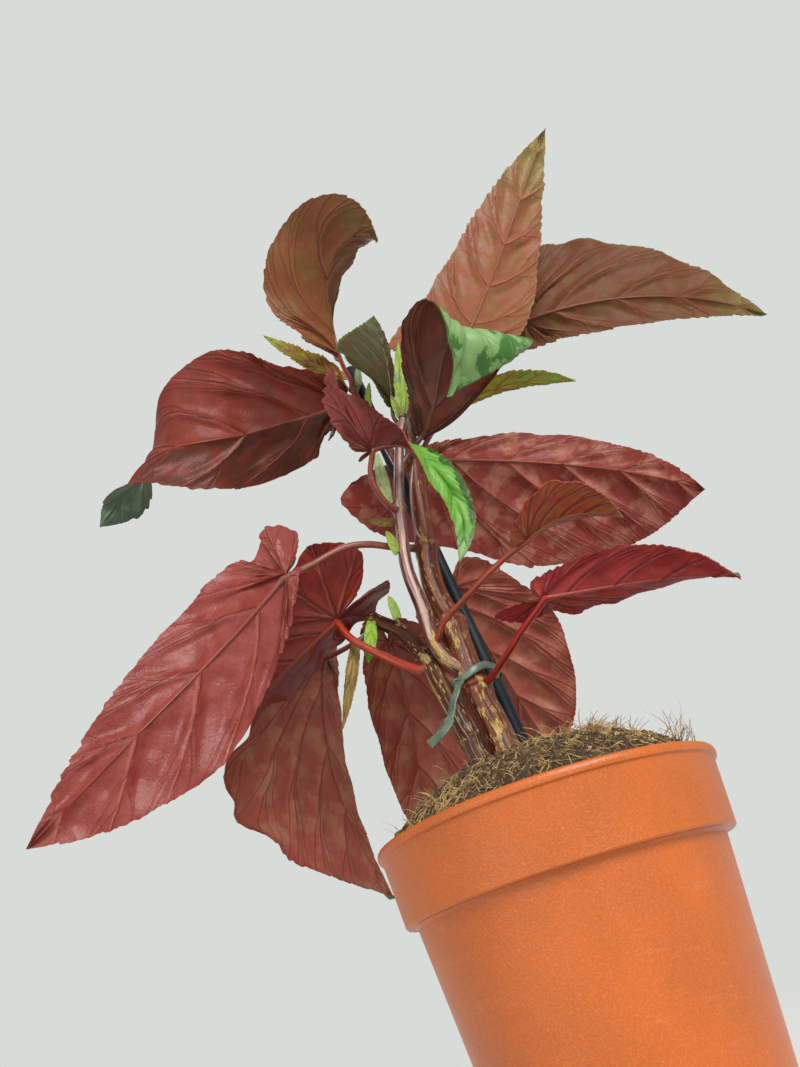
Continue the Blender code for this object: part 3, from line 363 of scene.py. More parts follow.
TIP_BLADES = (
    Bract(base=(-2.5, -15, 329), length=42, aim=(-8, 76, -110), droop=(-6,), width=(4.2, 3.6),
          fold=(38, 30)),
    Bract(base=(-3.6, -14.5, 328), length=12, aim=(-110, 74, -171), width=(2, 2), fold=(15, 15)),
    Bract(base=(-1.6, -14.6, 329), length=19, aim=(21, 66, -91), width=(2.4, 2.4), fold=(20, 20)),
)


@dataclass
class Look:
    """A leaf's colours. Below: the main colour, a second one in soft patches, the veins, and a main colour
    of its own for one half (1 is the right one). On the dusty and brown looks the patches are a paler
    painted sheen; the half colour is mostly painted shade on the crimson look and painted light on the
    arch look. Above: the main colour and the patches, which lie along the margin where edge_patches is 1,
    but not on the clear side. The tip's colour takes over from the given share of the length on."""
    under: tuple
    tint: tuple
    vein: tuple
    top: tuple = (0.045, 0.11, 0.03)
    patch: tuple = (0.16, 0.26, 0.12)
    tip: tuple = (0.2, 0.1, 0.05)
    tip_from: float = 1.2
    rim: tuple = (0.22, 0.03, 0.02)
    stalk: tuple = (0.24, 0.03, 0.014)
    shine: float = 0.46
    half: tuple = (0.0, 0.0, 0.0)
    half_side: int = 0
    clear_side: int = 0
    edge_patches: float = 0.0


LOOKS = {
    # Crimson: the darker half colour on the right half is mostly painted shade, partly the blade's own
    # darker brown
    "crimson": Look(under=(0.188, 0.021, 0.011), tint=(0.148, 0.021, 0.009), vein=(0.100, 0.008, 0.005),
                    half=(0.085, 0.021, 0.009), half_side=1, top=(0.085, 0.135, 0.080),
                    patch=(0.15, 0.22, 0.13)),
    "dusky": Look(under=(0.200, 0.013, 0.008), tint=(0.150, 0.012, 0.007), vein=(0.080, 0.006, 0.004),
                  top=(0.17, 0.018, 0.010), patch=(0.20, 0.024, 0.014), stalk=(0.40, 0.040, 0.014)),
    # Dusty: the paler patch colour is a painted sheen in soft patches
    "dusty": Look(under=(0.200, 0.026, 0.016), tint=(0.33, 0.110, 0.072), vein=(0.115, 0.010, 0.007)),
    "rose": Look(under=(0.240, 0.044, 0.034), tint=(0.195, 0.026, 0.019), vein=(0.155, 0.014, 0.011),
                 tip=(0.30, 0.10, 0.07), tip_from=0.82, stalk=(0.27, 0.080, 0.055), shine=0.38),
    # Brown: the paler tan patch colour is a painted sheen between the veins
    "brown": Look(under=(0.300, 0.068, 0.042), tint=(0.355, 0.135, 0.076), vein=(0.160, 0.019, 0.013),
                  stalk=(0.22, 0.06, 0.03)),
    "maroon": Look(under=(0.290, 0.062, 0.017), tint=(0.31, 0.034, 0.018), vein=(0.120, 0.011, 0.008),
                   tip=(0.34, 0.19, 0.09), tip_from=0.78, stalk=(0.33, 0.050, 0.020)),
    "deep": Look(under=(0.285, 0.020, 0.021), tint=(0.21, 0.014, 0.014), vein=(0.110, 0.005, 0.006),
                 tip=(0.05, 0.015, 0.014), tip_from=0.84, stalk=(0.36, 0.020, 0.010)),
    "copper_pink": Look(under=(0.225, 0.070, 0.031), tint=(0.190, 0.088, 0.026), vein=(0.145, 0.020, 0.008),
                        tip=(0.20, 0.17, 0.045), tip_from=0.62, top=(0.10, 0.13, 0.04),
                        rim=(0.24, 0.15, 0.05)),
    "copper": Look(under=(0.116, 0.030, 0.004), tint=(0.108, 0.044, 0.005), vein=(0.100, 0.014, 0.005),
                   tip=(0.15, 0.12, 0.028), tip_from=0.66, top=(0.09, 0.13, 0.04),
                   rim=(0.12, 0.09, 0.02), shine=0.58),
    "copper_dark": Look(under=(0.190, 0.056, 0.016), tint=(0.165, 0.080, 0.014), vein=(0.125, 0.014, 0.007),
                        tip=(0.14, 0.09, 0.03), tip_from=0.7, top=(0.08, 0.12, 0.03),
                        rim=(0.16, 0.05, 0.03)),
    "olive": Look(under=(0.040, 0.040, 0.004), tint=(0.055, 0.024, 0.006), vein=(0.045, 0.010, 0.005),
                  top=(0.055, 0.072, 0.009), patch=(0.070, 0.036, 0.011), tip=(0.07, 0.15, 0.015),
                  tip_from=0.76, stalk=(0.14, 0.05, 0.03), rim=(0.06, 0.16, 0.02), shine=0.6),
    "young": Look(under=(0.34, 0.30, 0.008), tint=(0.30, 0.12, 0.02), vein=(0.26, 0.08, 0.02),
                  top=(0.24, 0.34, 0.05), tip=(0.27, 0.36, 0.05), tip_from=0.4, rim=(0.16, 0.10, 0.02)),
    "bud": Look(under=(0.40, 0.31, 0.03), tint=(0.34, 0.12, 0.03), vein=(0.30, 0.04, 0.02),
                top=(0.32, 0.40, 0.04), tip=(0.22, 0.38, 0.04), tip_from=0.55, rim=(0.2, 0.34, 0.03)),
    # Arch: the paler red half colour on the left half is a painted light on a half that lies in shade
    "arch": Look(under=(0.105, 0.026, 0.012), tint=(0.16, 0.032, 0.015), vein=(0.045, 0.008, 0.005),
                 top=(0.175, 0.315, 0.105), patch=(0.03, 0.12, 0.015), stalk=(0.13, 0.03, 0.02),
                 rim=(0.05, 0.045, 0.012), edge_patches=0.6, half=(0.20, 0.044, 0.026), half_side=-1),
    "twist": Look(under=(0.185, 0.030, 0.026), tint=(0.135, 0.034, 0.018), vein=(0.07, 0.008, 0.008),
                  top=(0.110, 0.30, 0.028), patch=(0.014, 0.060, 0.008), rim=(0.30, 0.04, 0.035),
                  stalk=(0.24, 0.05, 0.022), edge_patches=1.0, clear_side=1, tip=(0.33, 0.50, 0.26),
                  tip_from=0.72),
    "stipule": Look(under=(0.27, 0.34, 0.05), tint=(0.34, 0.28, 0.06), vein=(0.22, 0.20, 0.04),
                    top=(0.27, 0.38, 0.05), rim=(0.36, 0.28, 0.07), stalk=(0.3, 0.2, 0.08)),
    "pale": Look(under=(0.34, 0.40, 0.17), tint=(0.27, 0.33, 0.11), vein=(0.22, 0.23, 0.08),
                 top=(0.34, 0.41, 0.17), rim=(0.38, 0.31, 0.12), stalk=(0.3, 0.2, 0.1)),
    "fresh": Look(under=(0.19, 0.33, 0.008), tint=(0.12, 0.23, 0.008), vein=(0.10, 0.18, 0.02),
                  top=(0.19, 0.34, 0.010), patch=(0.12, 0.26, 0.010), rim=(0.10, 0.30, 0.03),
                  stalk=(0.16, 0.14, 0.05)),
    "dry": Look(under=(0.24, 0.15, 0.034), tint=(0.15, 0.070, 0.020), vein=(0.08, 0.034, 0.015),
                top=(0.23, 0.15, 0.035), patch=(0.15, 0.085, 0.022), rim=(0.13, 0.055, 0.02),
                stalk=(0.16, 0.06, 0.03), shine=0.55),
}


def smooth_route(points, per_span=8):
    """A Catmull-Rom curve through the points."""
    p = np.asarray(points, float)
    if len(p) < 3:
        return np.linspace(p[0], p[-1], per_span + 1)
    ends = np.vstack([2 * p[0] - p[1], p, 2 * p[-1] - p[-2]])
    curve = []
    for a, b, c, d in zip(ends, ends[1:], ends[2:], ends[3:]):
        for t in np.linspace(0, 1, per_span, endpoint=False):
            curve.append(0.5 * (2 * b + (c - a) * t + (2 * a - 5 * b + 4 * c - d) * t ** 2
                                + (3 * b - a - 3 * c + d) * t ** 3))
    curve.append(p[-1])
    return np.array(curve)


def distance(route):
    """How far along the route each of its points lies."""
    return np.concatenate([[0], np.cumsum(np.linalg.norm(np.diff(route, axis=0), axis=1))])


def reach(route):
    """The same, as a share of the route's length."""
    far = distance(route)
    return far / far[-1]


def even_route(points, step):
    """The smooth route read at even steps."""
    curve = smooth_route(points, 16)
    places = np.linspace(0, 1, max(int(distance(curve)[-1] / step), 2) + 1)
    return np.stack([np.interp(places, reach(curve), curve[:, k]) for k in range(3)], 1)


def tube_ways(route, sides):
    """The turns of a tube's sides, and the way out to each side at each point of its route. The ways turn
    as little as they can from point to point."""
    ahead = np.gradient(route, axis=0)
    ahead /= np.linalg.norm(ahead, axis=1)[:, None]
    across = np.zeros_like(route)
    one = np.cross(ahead[0], (0.3, 0.9, 0.2))
    for i, way in enumerate(ahead):
        one = one - way * (one @ way)
        one /= np.linalg.norm(one)
        across[i] = one
    turn = np.arange(sides) * 2 * math.pi / sides
    ways = across[:, None] * np.cos(turn)[None, :, None]
    return turn, ways + np.cross(ahead, across)[:, None] * np.sin(turn)[None, :, None]


class Shape:
    """Points in millimetres, faces, and for each face its material's place in the list. Each point holds
    its place on the piece's two UV maps, the strength of the vein or patch that passes there (mark) and
    the width of its vein's share of the blade (span)."""

    def __init__(self):
        self.points, self.faces, self.finish = [], [], []
        self.flat, self.veins, self.mark, self.span = [], [], [], []

    def add(self, points, faces, finish=0, flat=0.0, veins=0.0, mark=0.0, span=1.0):
        points, first = np.asarray(points, float).reshape(-1, 3), sum(len(p) for p in self.points)
        self.points.append(points)
        for rows, values, wide in ((self.flat, flat, 2), (self.veins, veins, 2), (self.mark, mark, 1),
                                   (self.span, span, 1)):
            given = np.reshape(values, (-1, wide)) if np.ndim(values) else values
            rows.append(np.ones((len(points), wide)) * given)
        self.faces += [tuple(int(first + i) for i in face) for face in faces]
        self.finish += np.broadcast_to(finish, len(faces)).tolist()
        return first

    def piece(self, name, finishes, sharp=60):
        """The mesh object, with its UV maps flat (metres) and veins, and the attributes mark and span."""
        mesh = bpy.data.meshes.new(name)
        points = np.vstack(self.points) * MM
        mesh.from_pydata(points.tolist(), [], self.faces)
        for finish in finishes:
            mesh.materials.append(finish)
        mesh.polygons.foreach_set("material_index", self.finish)
        corner = np.zeros(len(mesh.loops), np.int32)
        mesh.loops.foreach_get("vertex_index", corner)
        for label, rows, scale in (("flat", self.flat, MM), ("veins", self.veins, 1.0)):
            uv = np.vstack(rows)[corner] * scale
            mesh.uv_layers.new(name=label).data.foreach_set("uv", uv.ravel().astype(np.float32))
        for label, rows in (("mark", self.mark), ("span", self.span)):
            values = np.concatenate(rows).ravel().astype(np.float32)
            mesh.attributes.new(label, "FLOAT", "POINT").data.foreach_set("value", values)
        mesh.shade_smooth()
        mesh.set_sharp_from_angle(angle=math.radians(sharp))
        obj = bpy.data.objects.new(name, mesh)
        bpy.context.scene.collection.objects.link(obj)
        return obj


def tube_faces(rings, sides, cap=True, closed=False):
    """The faces of a tube: with a cap at each end, or open, or closed on itself."""
    faces = []
    for ring in range(rings if closed else rings - 1):
        step = sides if ring < rings - 1 else -ring * sides
        for side in range(sides):
            a, b = ring * sides + side, ring * sides + (side + 1) % sides
            faces.append((a, b, b + step, a + step))
    if cap and not closed:
        faces.append(tuple(reversed(range(sides))))
        faces.append(tuple(range((rings - 1) * sides, rings * sides)))
    return faces


def add_tube(shape, route, radii, sides, finish=0, relief=0.0, mark=0.0):
    """A closed tube. Relief gives the extra radius, and mark the patch's strength, for each ring and
    each turn round it. Its flat map is the bark unrolled. The finish is one value, or one for each ring."""
    turn, ways = tube_ways(route, sides)
    radii, far, even = np.asarray(radii, float)[:, None], distance(route)[:, None], np.ones((1, sides))
    points = route[:, None] + ways * (radii * even + relief)[..., None]
    flat = np.stack([np.abs(turn - math.pi) * radii, far * even], -1)
    veins = np.stack([turn / (2 * math.pi) + 0 * far, far / far[-1] * even], -1)
    if np.ndim(finish):
        finish = [*np.repeat(finish[:-1], sides), finish[0], finish[-1]]
    shape.add(points, tube_faces(len(route), sides), finish, flat, veins, mark)


class Midrib:
    """The frames along a leaf's midrib: its points, the way ahead, and the way to the leaf's right."""

    def __init__(self, leaf, steps=120):
        heading, pitch, roll = (math.radians(a) for a in leaf.aim)
        ahead = np.array([math.cos(pitch) * math.cos(heading), math.cos(pitch) * math.sin(heading),
                          math.sin(pitch)])
        level = np.array([math.sin(heading), -math.cos(heading), 0.0])
        right = level * math.cos(roll) + np.cross(level, ahead) * math.sin(roll)
        stretches = len(leaf.droop)
        many = np.ones(stretches)
        turns = -np.radians(np.stack([leaf.droop * many, leaf.sweep * many, leaf.twist * many], 1))
        turns *= stretches / steps
        at, points, ways, rights = np.zeros(3), [np.zeros(3)], [ahead], [right]
        for i in range(steps):
            droop, sweep, twist = turns[i * stretches // steps]
            turn = droop * right + sweep * np.cross(right, ahead) + twist * ahead
            after = ahead + np.cross(turn, ahead)
            after /= np.linalg.norm(after)
            right = right + np.cross(turn, right)
            right -= after * (right @ after)
            right /= np.linalg.norm(right)
            middle = ahead + after
            at = at + middle / np.linalg.norm(middle) * leaf.length / steps
            ahead = after
            points.append(at)
            ways.append(ahead)
            rights.append(right)
        self.length = leaf.length
        self.along = np.linspace(0, leaf.length, steps + 1)
        self.points = np.array(points) + np.array(leaf.base, float)
        self.ways, self.rights = np.array(ways), np.array(rights)

    def at(self, x):
        """Point, way ahead, way right and way up at a distance along the midrib, or straight on past it."""
        inside = np.clip(x, 0, self.length)
        point, way, right = (np.stack([np.interp(inside, self.along, rows[:, k]) for k in range(3)], -1)
                             for rows in (self.points, self.ways, self.rights))
        way /= np.linalg.norm(way, axis=-1, keepdims=True)
        right -= (right * way).sum(-1, keepdims=True) * way
        right /= np.linalg.norm(right, axis=-1, keepdims=True)
        return point + way * (x - inside)[..., None], way, right, np.cross(right, way)


def margin(leaf, half, steps=600):
    """The flat outline of one half: out round its lobe, past its widest place and in to the tip."""
    length, width, lobe = leaf.length, leaf.width[half], leaf.lobe[half]
    lobe_width, widest = leaf.lobe_width[half], leaf.widest[half]
    corners = [(0, 0), (-0.6 * lobe, 0.1 * lobe_width), (-lobe, 0.5 * lobe_width),
               (-0.55 * lobe, lobe_width),
               (0.3 * widest * length, (1 - leaf.notch[half]) * (lobe_width + width) / 2),
               (widest * length, width),
               ((0.45 + 0.55 * widest) * length, (0.66 + 0.16 * leaf.full) * width),
               ((0.76 + 0.24 * widest) * length, (0.30 + 0.2 * leaf.full) * width), (length, 0)]
    curve = smooth_route([(x, y, 0) for x, y in corners], 24)
    return np.stack([np.interp(np.linspace(0, 1, steps), reach(curve), curve[:, k]) for k in (0, 1)], 1)


# Places of the columns within one vein's share, close together at the vein, which runs at the middle
VEIN_COLUMNS = (0.0, 0.07, 0.14, 0.21, 0.27, 0.33, 0.38, 0.42, 0.455, 0.48, 0.5, 0.52, 0.545, 0.58, 0.62,
                0.67, 0.73, 0.79, 0.86, 0.93)
BLADE_ROWS = (0, 0.015, 0.035, 0.06, 0.09, 0.13, 0.17, 0.22, 0.27, 0.32, 0.37, 0.42, 0.47, 0.52, 0.57, 0.62,
              0.67, 0.72, 0.77, 0.82, 0.87, 0.91, 0.95, 0.98, 1.0)
# The side veins: their slant and bow, their half width and how much of it they lose towards the margin
VEIN_SLANT, VEIN_BOW = 1.75, 0.12
VEIN_WIDTH, VEIN_THINNING = 0.8, 0.42
# The teeth: the pitch of the coarse and the fine ones, and their largest depth as a share of their vein
COARSE_TOOTH, FINE_TOOTH, TOOTH_ROOM = 8.5, 3.1, 0.12
# The margin's waves along a leaf, and the lower frills on them
RUFFLES, FRILL = 9, 0.28
# A side vein's branches: how far each goes aside, as a share of the vein's room, and where it starts
FORKS = ((0.40, 0.26), (-0.42, 0.44), (0.30, 0.66))
FORK_END, FORK_WIDTH = 1.15, 1.1


def smooth_step(value):
    value = np.clip(value, 0, 1)
    return value * value * (3 - 2 * value)


def vein_grid(leaf, half, tooth_share):
    """Flat places of one half, for each column (numbered by vein) and each row from midrib to margin."""
    edge = margin(leaf, half)
    share = np.linspace(0, 1, len(edge))
    foot = np.maximum.accumulate(np.clip(edge[:, 0] - VEIN_SLANT * edge[:, 1], 0, leaf.length))
    open_edge = edge[:, 1] > np.maximum(0.5, 0.06 * -edge[:, 0])
    start = share[np.argmax(open_edge)]
    spread = max(share[np.argmax(foot > 0)], start + 0.01)
    column = np.concatenate([k + np.array(VEIN_COLUMNS) for k in range(leaf.palmate + leaf.pinnate)]
                            + [[leaf.palmate + leaf.pinnate]])
    station = np.clip((column - leaf.palmate) / leaf.pinnate, 0, 1) * leaf.length
    ends = np.where(column < leaf.palmate, start + (spread - start) * column / leaf.palmate,
                    np.interp(station, foot[foot > 0], share[foot > 0]))
    ends[-1] = 1.0
    tips = np.stack([np.interp(ends, share, edge[:, k]) for k in (0, 1)], 1)
    ahead = np.gradient(tips, axis=0)
    ahead /= np.maximum(np.linalg.norm(ahead, axis=1), 1e-9)[:, None]
    inward = np.stack([ahead[:, 1], -ahead[:, 0]], 1)
    room = np.hypot(tips[:, 0] - station, tips[:, 1])
    size = np.minimum(tooth_share * leaf.tooth * leaf.length, TOOTH_ROOM * room)
    size = size * np.clip(4 * (column[-1] - column) / leaf.pinnate, 0, 1)
    along = distance(tips)
    pitch = COARSE_TOOTH * min(leaf.length / 120, 1.1)
    saw = (along / pitch + 0.35 * np.sin(along / pitch * 1.7)) % 1.0
    fine = (along / FINE_TOOTH + 0.3 * np.sin(along / 7)) % 1.0
    depth = size * ((1.0 - saw) ** 1.6 * (0.75 + 0.4 * np.sin(along / 23)) + 0.38 * (1.0 - fine))
    tips = tips + inward * depth[:, None]
    feet = np.stack([station, 0 * station], 1)
    rows = np.array(BLADE_ROWS)[:, None, None]
    flat = feet[None] + (tips - feet)[None] * rows
    bow = VEIN_BOW * np.linalg.norm(tips - feet, axis=1)[None] * 4 * rows[..., 0] * (1 - rows[..., 0])
    flat[..., 0] -= bow * np.clip(column - leaf.palmate + 1, 0, 1)[None] * (1 - station / leaf.length)[None]
    return column, flat


def fork_strength(aside, row, span):
    """How close each place is to a branch of its side vein, from 0 to 1."""
    near = np.zeros_like(row)
    for side, start in FORKS:
        off = np.abs(aside - side * smooth_step((row - start) / (FORK_END - start))) * span
        near = np.maximum(near, np.exp(-(off / FORK_WIDTH) ** 2) * smooth_step((row - start) / 0.1))
    return near


def blade_surface(leaf, rib, half, look_seed):
    """Places, upward ways and vein strengths of one half of the blade, on its vein grid."""
    leaves = settings("leaves")
    column, flat = vein_grid(leaf, half, leaves.tooth)
    x, y = flat[..., 0], flat[..., 1]
    row = np.repeat(np.array(BLADE_ROWS)[:, None], len(column), 1)
    unit = np.gradient(flat, column, axis=1)
    along = np.gradient(flat, np.array(BLADE_ROWS), axis=0)
    along /= np.maximum(np.linalg.norm(along, axis=-1), 1e-9)[..., None]
    span = np.abs(unit[..., 0] * along[..., 1] - unit[..., 1] * along[..., 0])

    aside = (column % 1.0 - 0.5)[None] * np.ones_like(row)
    off = np.abs(aside) * span
    forks = fork_strength(aside, row, span)
    vein = np.exp(-(off / (VEIN_WIDTH - VEIN_THINNING * row)) ** 2) * (1 - 0.5 * row)
    vein = np.maximum(vein, 0.4 * forks * (1 - 0.5 * row))

    cells = (1 - np.exp(-(off / 3.0) ** 2)) * (1 - 0.6 * forks)
    drift = 2.1 * np.sin(0.19 * y + look_seed)
    puffs = 0.78 + 0.22 * np.sin(0.33 * x + drift + look_seed) * np.sin(0.27 * y + 1.8 * np.sin(0.14 * x))
    quilt = leaves.quilt / MM * min(leaf.length / 110, 1.2)
    crest = quilt * cells * puffs * np.clip(span / 8, 0, 1.2) * np.sin(np.pi * row ** 0.8)
    out = y / leaf.width[half]
    wave = leaves.ruffle * leaf.width[half]
    ruffle = wave * out ** 2 * np.sin(RUFFLES * x / leaf.length * math.pi + 2 * half)
    frill = FRILL * wave * row ** 4 * np.sin(x * 0.29 + y * 0.11 + look_seed + 2 * half)

    sign = 1 if half else -1
    point, _, right, up = rib.at(x)
    angle = np.radians(leaf.fold[half] + 0.5 * leaf.curl[half] * out)[..., None]
    across = sign * right * np.cos(angle) + up * np.sin(angle)
    normal = -sign * right * np.sin(angle) + up * np.cos(angle)
    where = point + across * y[..., None] + normal * (ruffle + frill + crest)[..., None]
    normal[0] = up[0]
    return dict(column=column, flat=flat, row=row, vein=vein, span=span, where=where, normal=normal)


def add_blade(shape, leaf, rib, under, upper, look_seed=0.0):
    """Both faces of the blade and the rim between them. The veins stand out of the lower face."""
    leaves = settings("leaves")
    thick = leaves.thickness / MM / 2
    for half in (0, 1):
        grid = blade_surface(leaf, rib, half, look_seed)
        rows, columns = grid["row"].shape
        place = np.arange(rows * columns).reshape(rows, columns)
        corners = [place[:-1, :-1], place[:-1, 1:], place[1:, 1:], place[1:, :-1]]
        quads = np.stack(corners, -1).reshape(-1, 4)
        if not half:
            quads = quads[:, ::-1]
        ridge = leaves.vein_height / MM * min(leaf.length / 100, 1) * grid["vein"]
        ridge = ridge * (1 - grid["row"]) ** 0.3
        low = grid["where"] - grid["normal"] * (thick + ridge)[..., None]
        high = grid["where"] + grid["normal"] * (thick - 0.4 * ridge)[..., None]
        flat = grid["flat"].copy()
        flat[..., 1] *= 1 if half else -1
        veins = np.stack([np.repeat(grid["column"][None], rows, 0), grid["row"]], -1)
        maps = dict(flat=flat, veins=veins, mark=grid["vein"], span=grid["span"])
        top = shape.add(high, quads, upper, **maps)
        bottom = shape.add(low, quads[:, ::-1], under, **maps)
        rim = [*place[:, 0], *place[-1, 1:]]
        for a, b in zip(rim, rim[1:]):
            face = (top + a, bottom + a, bottom + b, top + b)
            shape.faces.append(tuple(int(i) for i in (face if half else face[::-1])))
            shape.finish.append(under)


def add_stalk(shape, leaf, rib, stalk_finish, rib_finish):
    """The leaf stalk, with a collar at the cane, running on under the blade as its tapering midrib."""
    share = np.linspace(0.02, 0.97, 48)
    point, _, _, up = rib.at(share * leaf.length)
    thin = leaf.stalk_radius * (0.80 - 0.70 * share ** 0.6)
    under = point - up * (thin * 0.35 + 0.2)[:, None]
    stalk = even_route([*leaf.stalk, tuple(under[0])], 1.2)
    far = distance(stalk)
    collar = 0.3 * np.exp(-(far / 3.0) ** 2) + 0.10 * np.exp(-((far - 4.6) / 0.8) ** 2)
    inside = 0.5 + 0.5 * smooth_step(far / 2.6)
    radii = leaf.stalk_radius * (1 + collar) * (1 - 0.12 * reach(stalk)) * inside
    if (stalk[-1] - stalk[-2]) @ (under[1] - under[0]) < 0:
        add_tube(shape, stalk, radii, 16, stalk_finish)
        add_tube(shape, under, thin, 12, rib_finish)
    else:
        finishes = np.repeat([stalk_finish, rib_finish], [len(stalk) + 1, len(under) - 2])
        add_tube(shape, np.vstack([stalk, under[1:]]), np.concatenate([radii, thin[1:]]), 16, finishes)


# Materials

class Value:
    """What a shader node puts out. Counting with it adds the Math node that does so."""

    def __init__(self, pattern, socket):
        self.pattern, self.socket = pattern, socket

    def __add__(self, other):
        return self.pattern.math("ADD", self, other)

    def __radd__(self, other):
        return self.pattern.math("ADD", other, self)

    def __sub__(self, other):
        return self.pattern.math("SUBTRACT", self, other)

    def __rsub__(self, other):
        return self.pattern.math("SUBTRACT", other, self)

    def __mul__(self, other):
        return self.pattern.math("MULTIPLY", self, other)

    def __truediv__(self, other):
        return self.pattern.math("DIVIDE", self, other)


class Pattern:
    """Adds shader nodes one after another, each fed by plain values or by what was made before."""

    def __init__(self, tree):
        self.tree = tree

    def node(self, kind, inputs=(), **options):
        made = self.tree.nodes.new("ShaderNode" + kind)
        for key, value in options.items():
            setattr(made, key, value)
        for key, value in dict(inputs).items():
            self.feed(made.inputs[key], value)
        return made

    def value(self, output, kind, inputs=(), **options):
        """What a new node puts out at the output named or numbered."""
        return Value(self, self.node(kind, inputs, **options).outputs[output])

    def feed(self, socket, value):
        if isinstance(value, Value):
            self.tree.links.new(value.socket, socket)
        elif isinstance(value, tuple) and len(value) == 3 and socket.type == "RGBA":
            socket.default_value = (*value, 1.0)
        else:
            socket.default_value = value

    def math(self, operation, first, second=0.0):
        return self.value(0, "Math", {0: first, 1: second}, operation=operation)

    def highest(self, first, second):
        return self.math("MAXIMUM", first, second)

    def mask(self, value, low, high):
        """0 below low and 1 above high, or the other way round where high is less than low."""
        return self.value("Result", "MapRange", {"Value": value, "From Min": low, "From Max": high},
                          interpolation_type="SMOOTHSTEP")

    def mix(self, factor, first, second):
        return self.value(2, "Mix", {0: factor, 6: first, 7: second}, data_type="RGBA")

    def noise(self, vector, scale, detail=3.0, rough=0.55):
        return self.value("Fac", "TexNoise",
                          {"Vector": vector, "Scale": scale, "Detail": detail, "Roughness": rough})

    def cells(self, vector, scale, feature="F1"):
        return self.value("Distance", "TexVoronoi", {"Vector": vector, "Scale": scale}, feature=feature)

    def line(self, value, middle, wide):
        """1 along a line, where the value passes its middle, and 0 past its width."""
        return self.mask(self.math("ABSOLUTE", value - middle) / wide, 1.0, 0.35)

    def warp(self, vector, size):
        """The place moved a little by noise, so that cells lose their straight edges."""
        noise = self.value("Color", "TexNoise", {"Vector": vector, "Scale": 260.0, "Detail": 2.0})
        return self.value("Vector", "VectorMath", {0: noise, 1: (size, size, size), 2: vector},
                          operation="MULTIPLY_ADD")

    def stretch(self, vector, *scale):
        return self.value("Vector", "Mapping", {"Vector": vector, "Scale": scale})

    def uv(self, name):
        return self.value("UV", "UVMap", uv_map=name)

    def place(self):
        return self.value("Object", "TexCoord")

    def attribute(self, name):
        return self.value("Fac", "Attribute", attribute_name=name)

    def split(self, vector):
        return [Value(self, part) for part in self.node("SeparateXYZ", {"Vector": vector}).outputs]


def shader_group(name, inputs, outputs):
    """A node group with named sockets: the pattern to fill, its inputs' values and its output sockets."""
    tree = bpy.data.node_groups.new(name, "ShaderNodeTree")
    for label, value in inputs.items():
        kind = "Color" if isinstance(value, tuple) else "Float"
        socket = tree.interface.new_socket(label, in_out="INPUT", socket_type="NodeSocket" + kind)
        socket.default_value = (*value, 1.0) if kind == "Color" else value
    for label, kind in outputs.items():
        tree.interface.new_socket(label, in_out="OUTPUT", socket_type="NodeSocket" + kind)
    p = Pattern(tree)
    given = {socket.name: Value(p, socket) for socket in tree.nodes.new("NodeGroupInput").outputs}
    return p, given, tree.nodes.new("NodeGroupOutput").inputs


def shade(colour, share):
    """The colour made darker, or paler where the share is above 1."""
    return tuple(min(1, share * c) for c in colour)


def blend(first, second, share):
    """A colour between two: the share is the second's."""
    return tuple((1 - share) * a + share * b for a, b in zip(first, second))


GREY = (0.5, 0.5, 0.5)
# Where the young cane's painted sheen stripe lies, on its front, as a share of a turn
STRIPE_TURN = 0.29
# The foot of every stalk, and the colours of the painted sheen on red and on green blades
FOOT_BROWN = (0.16, 0.055, 0.030)
PAINTED_SHEEN_PINK, PAINTED_SHEEN_GREEN = (0.66, 0.29, 0.16), (0.48, 0.56, 0.28)


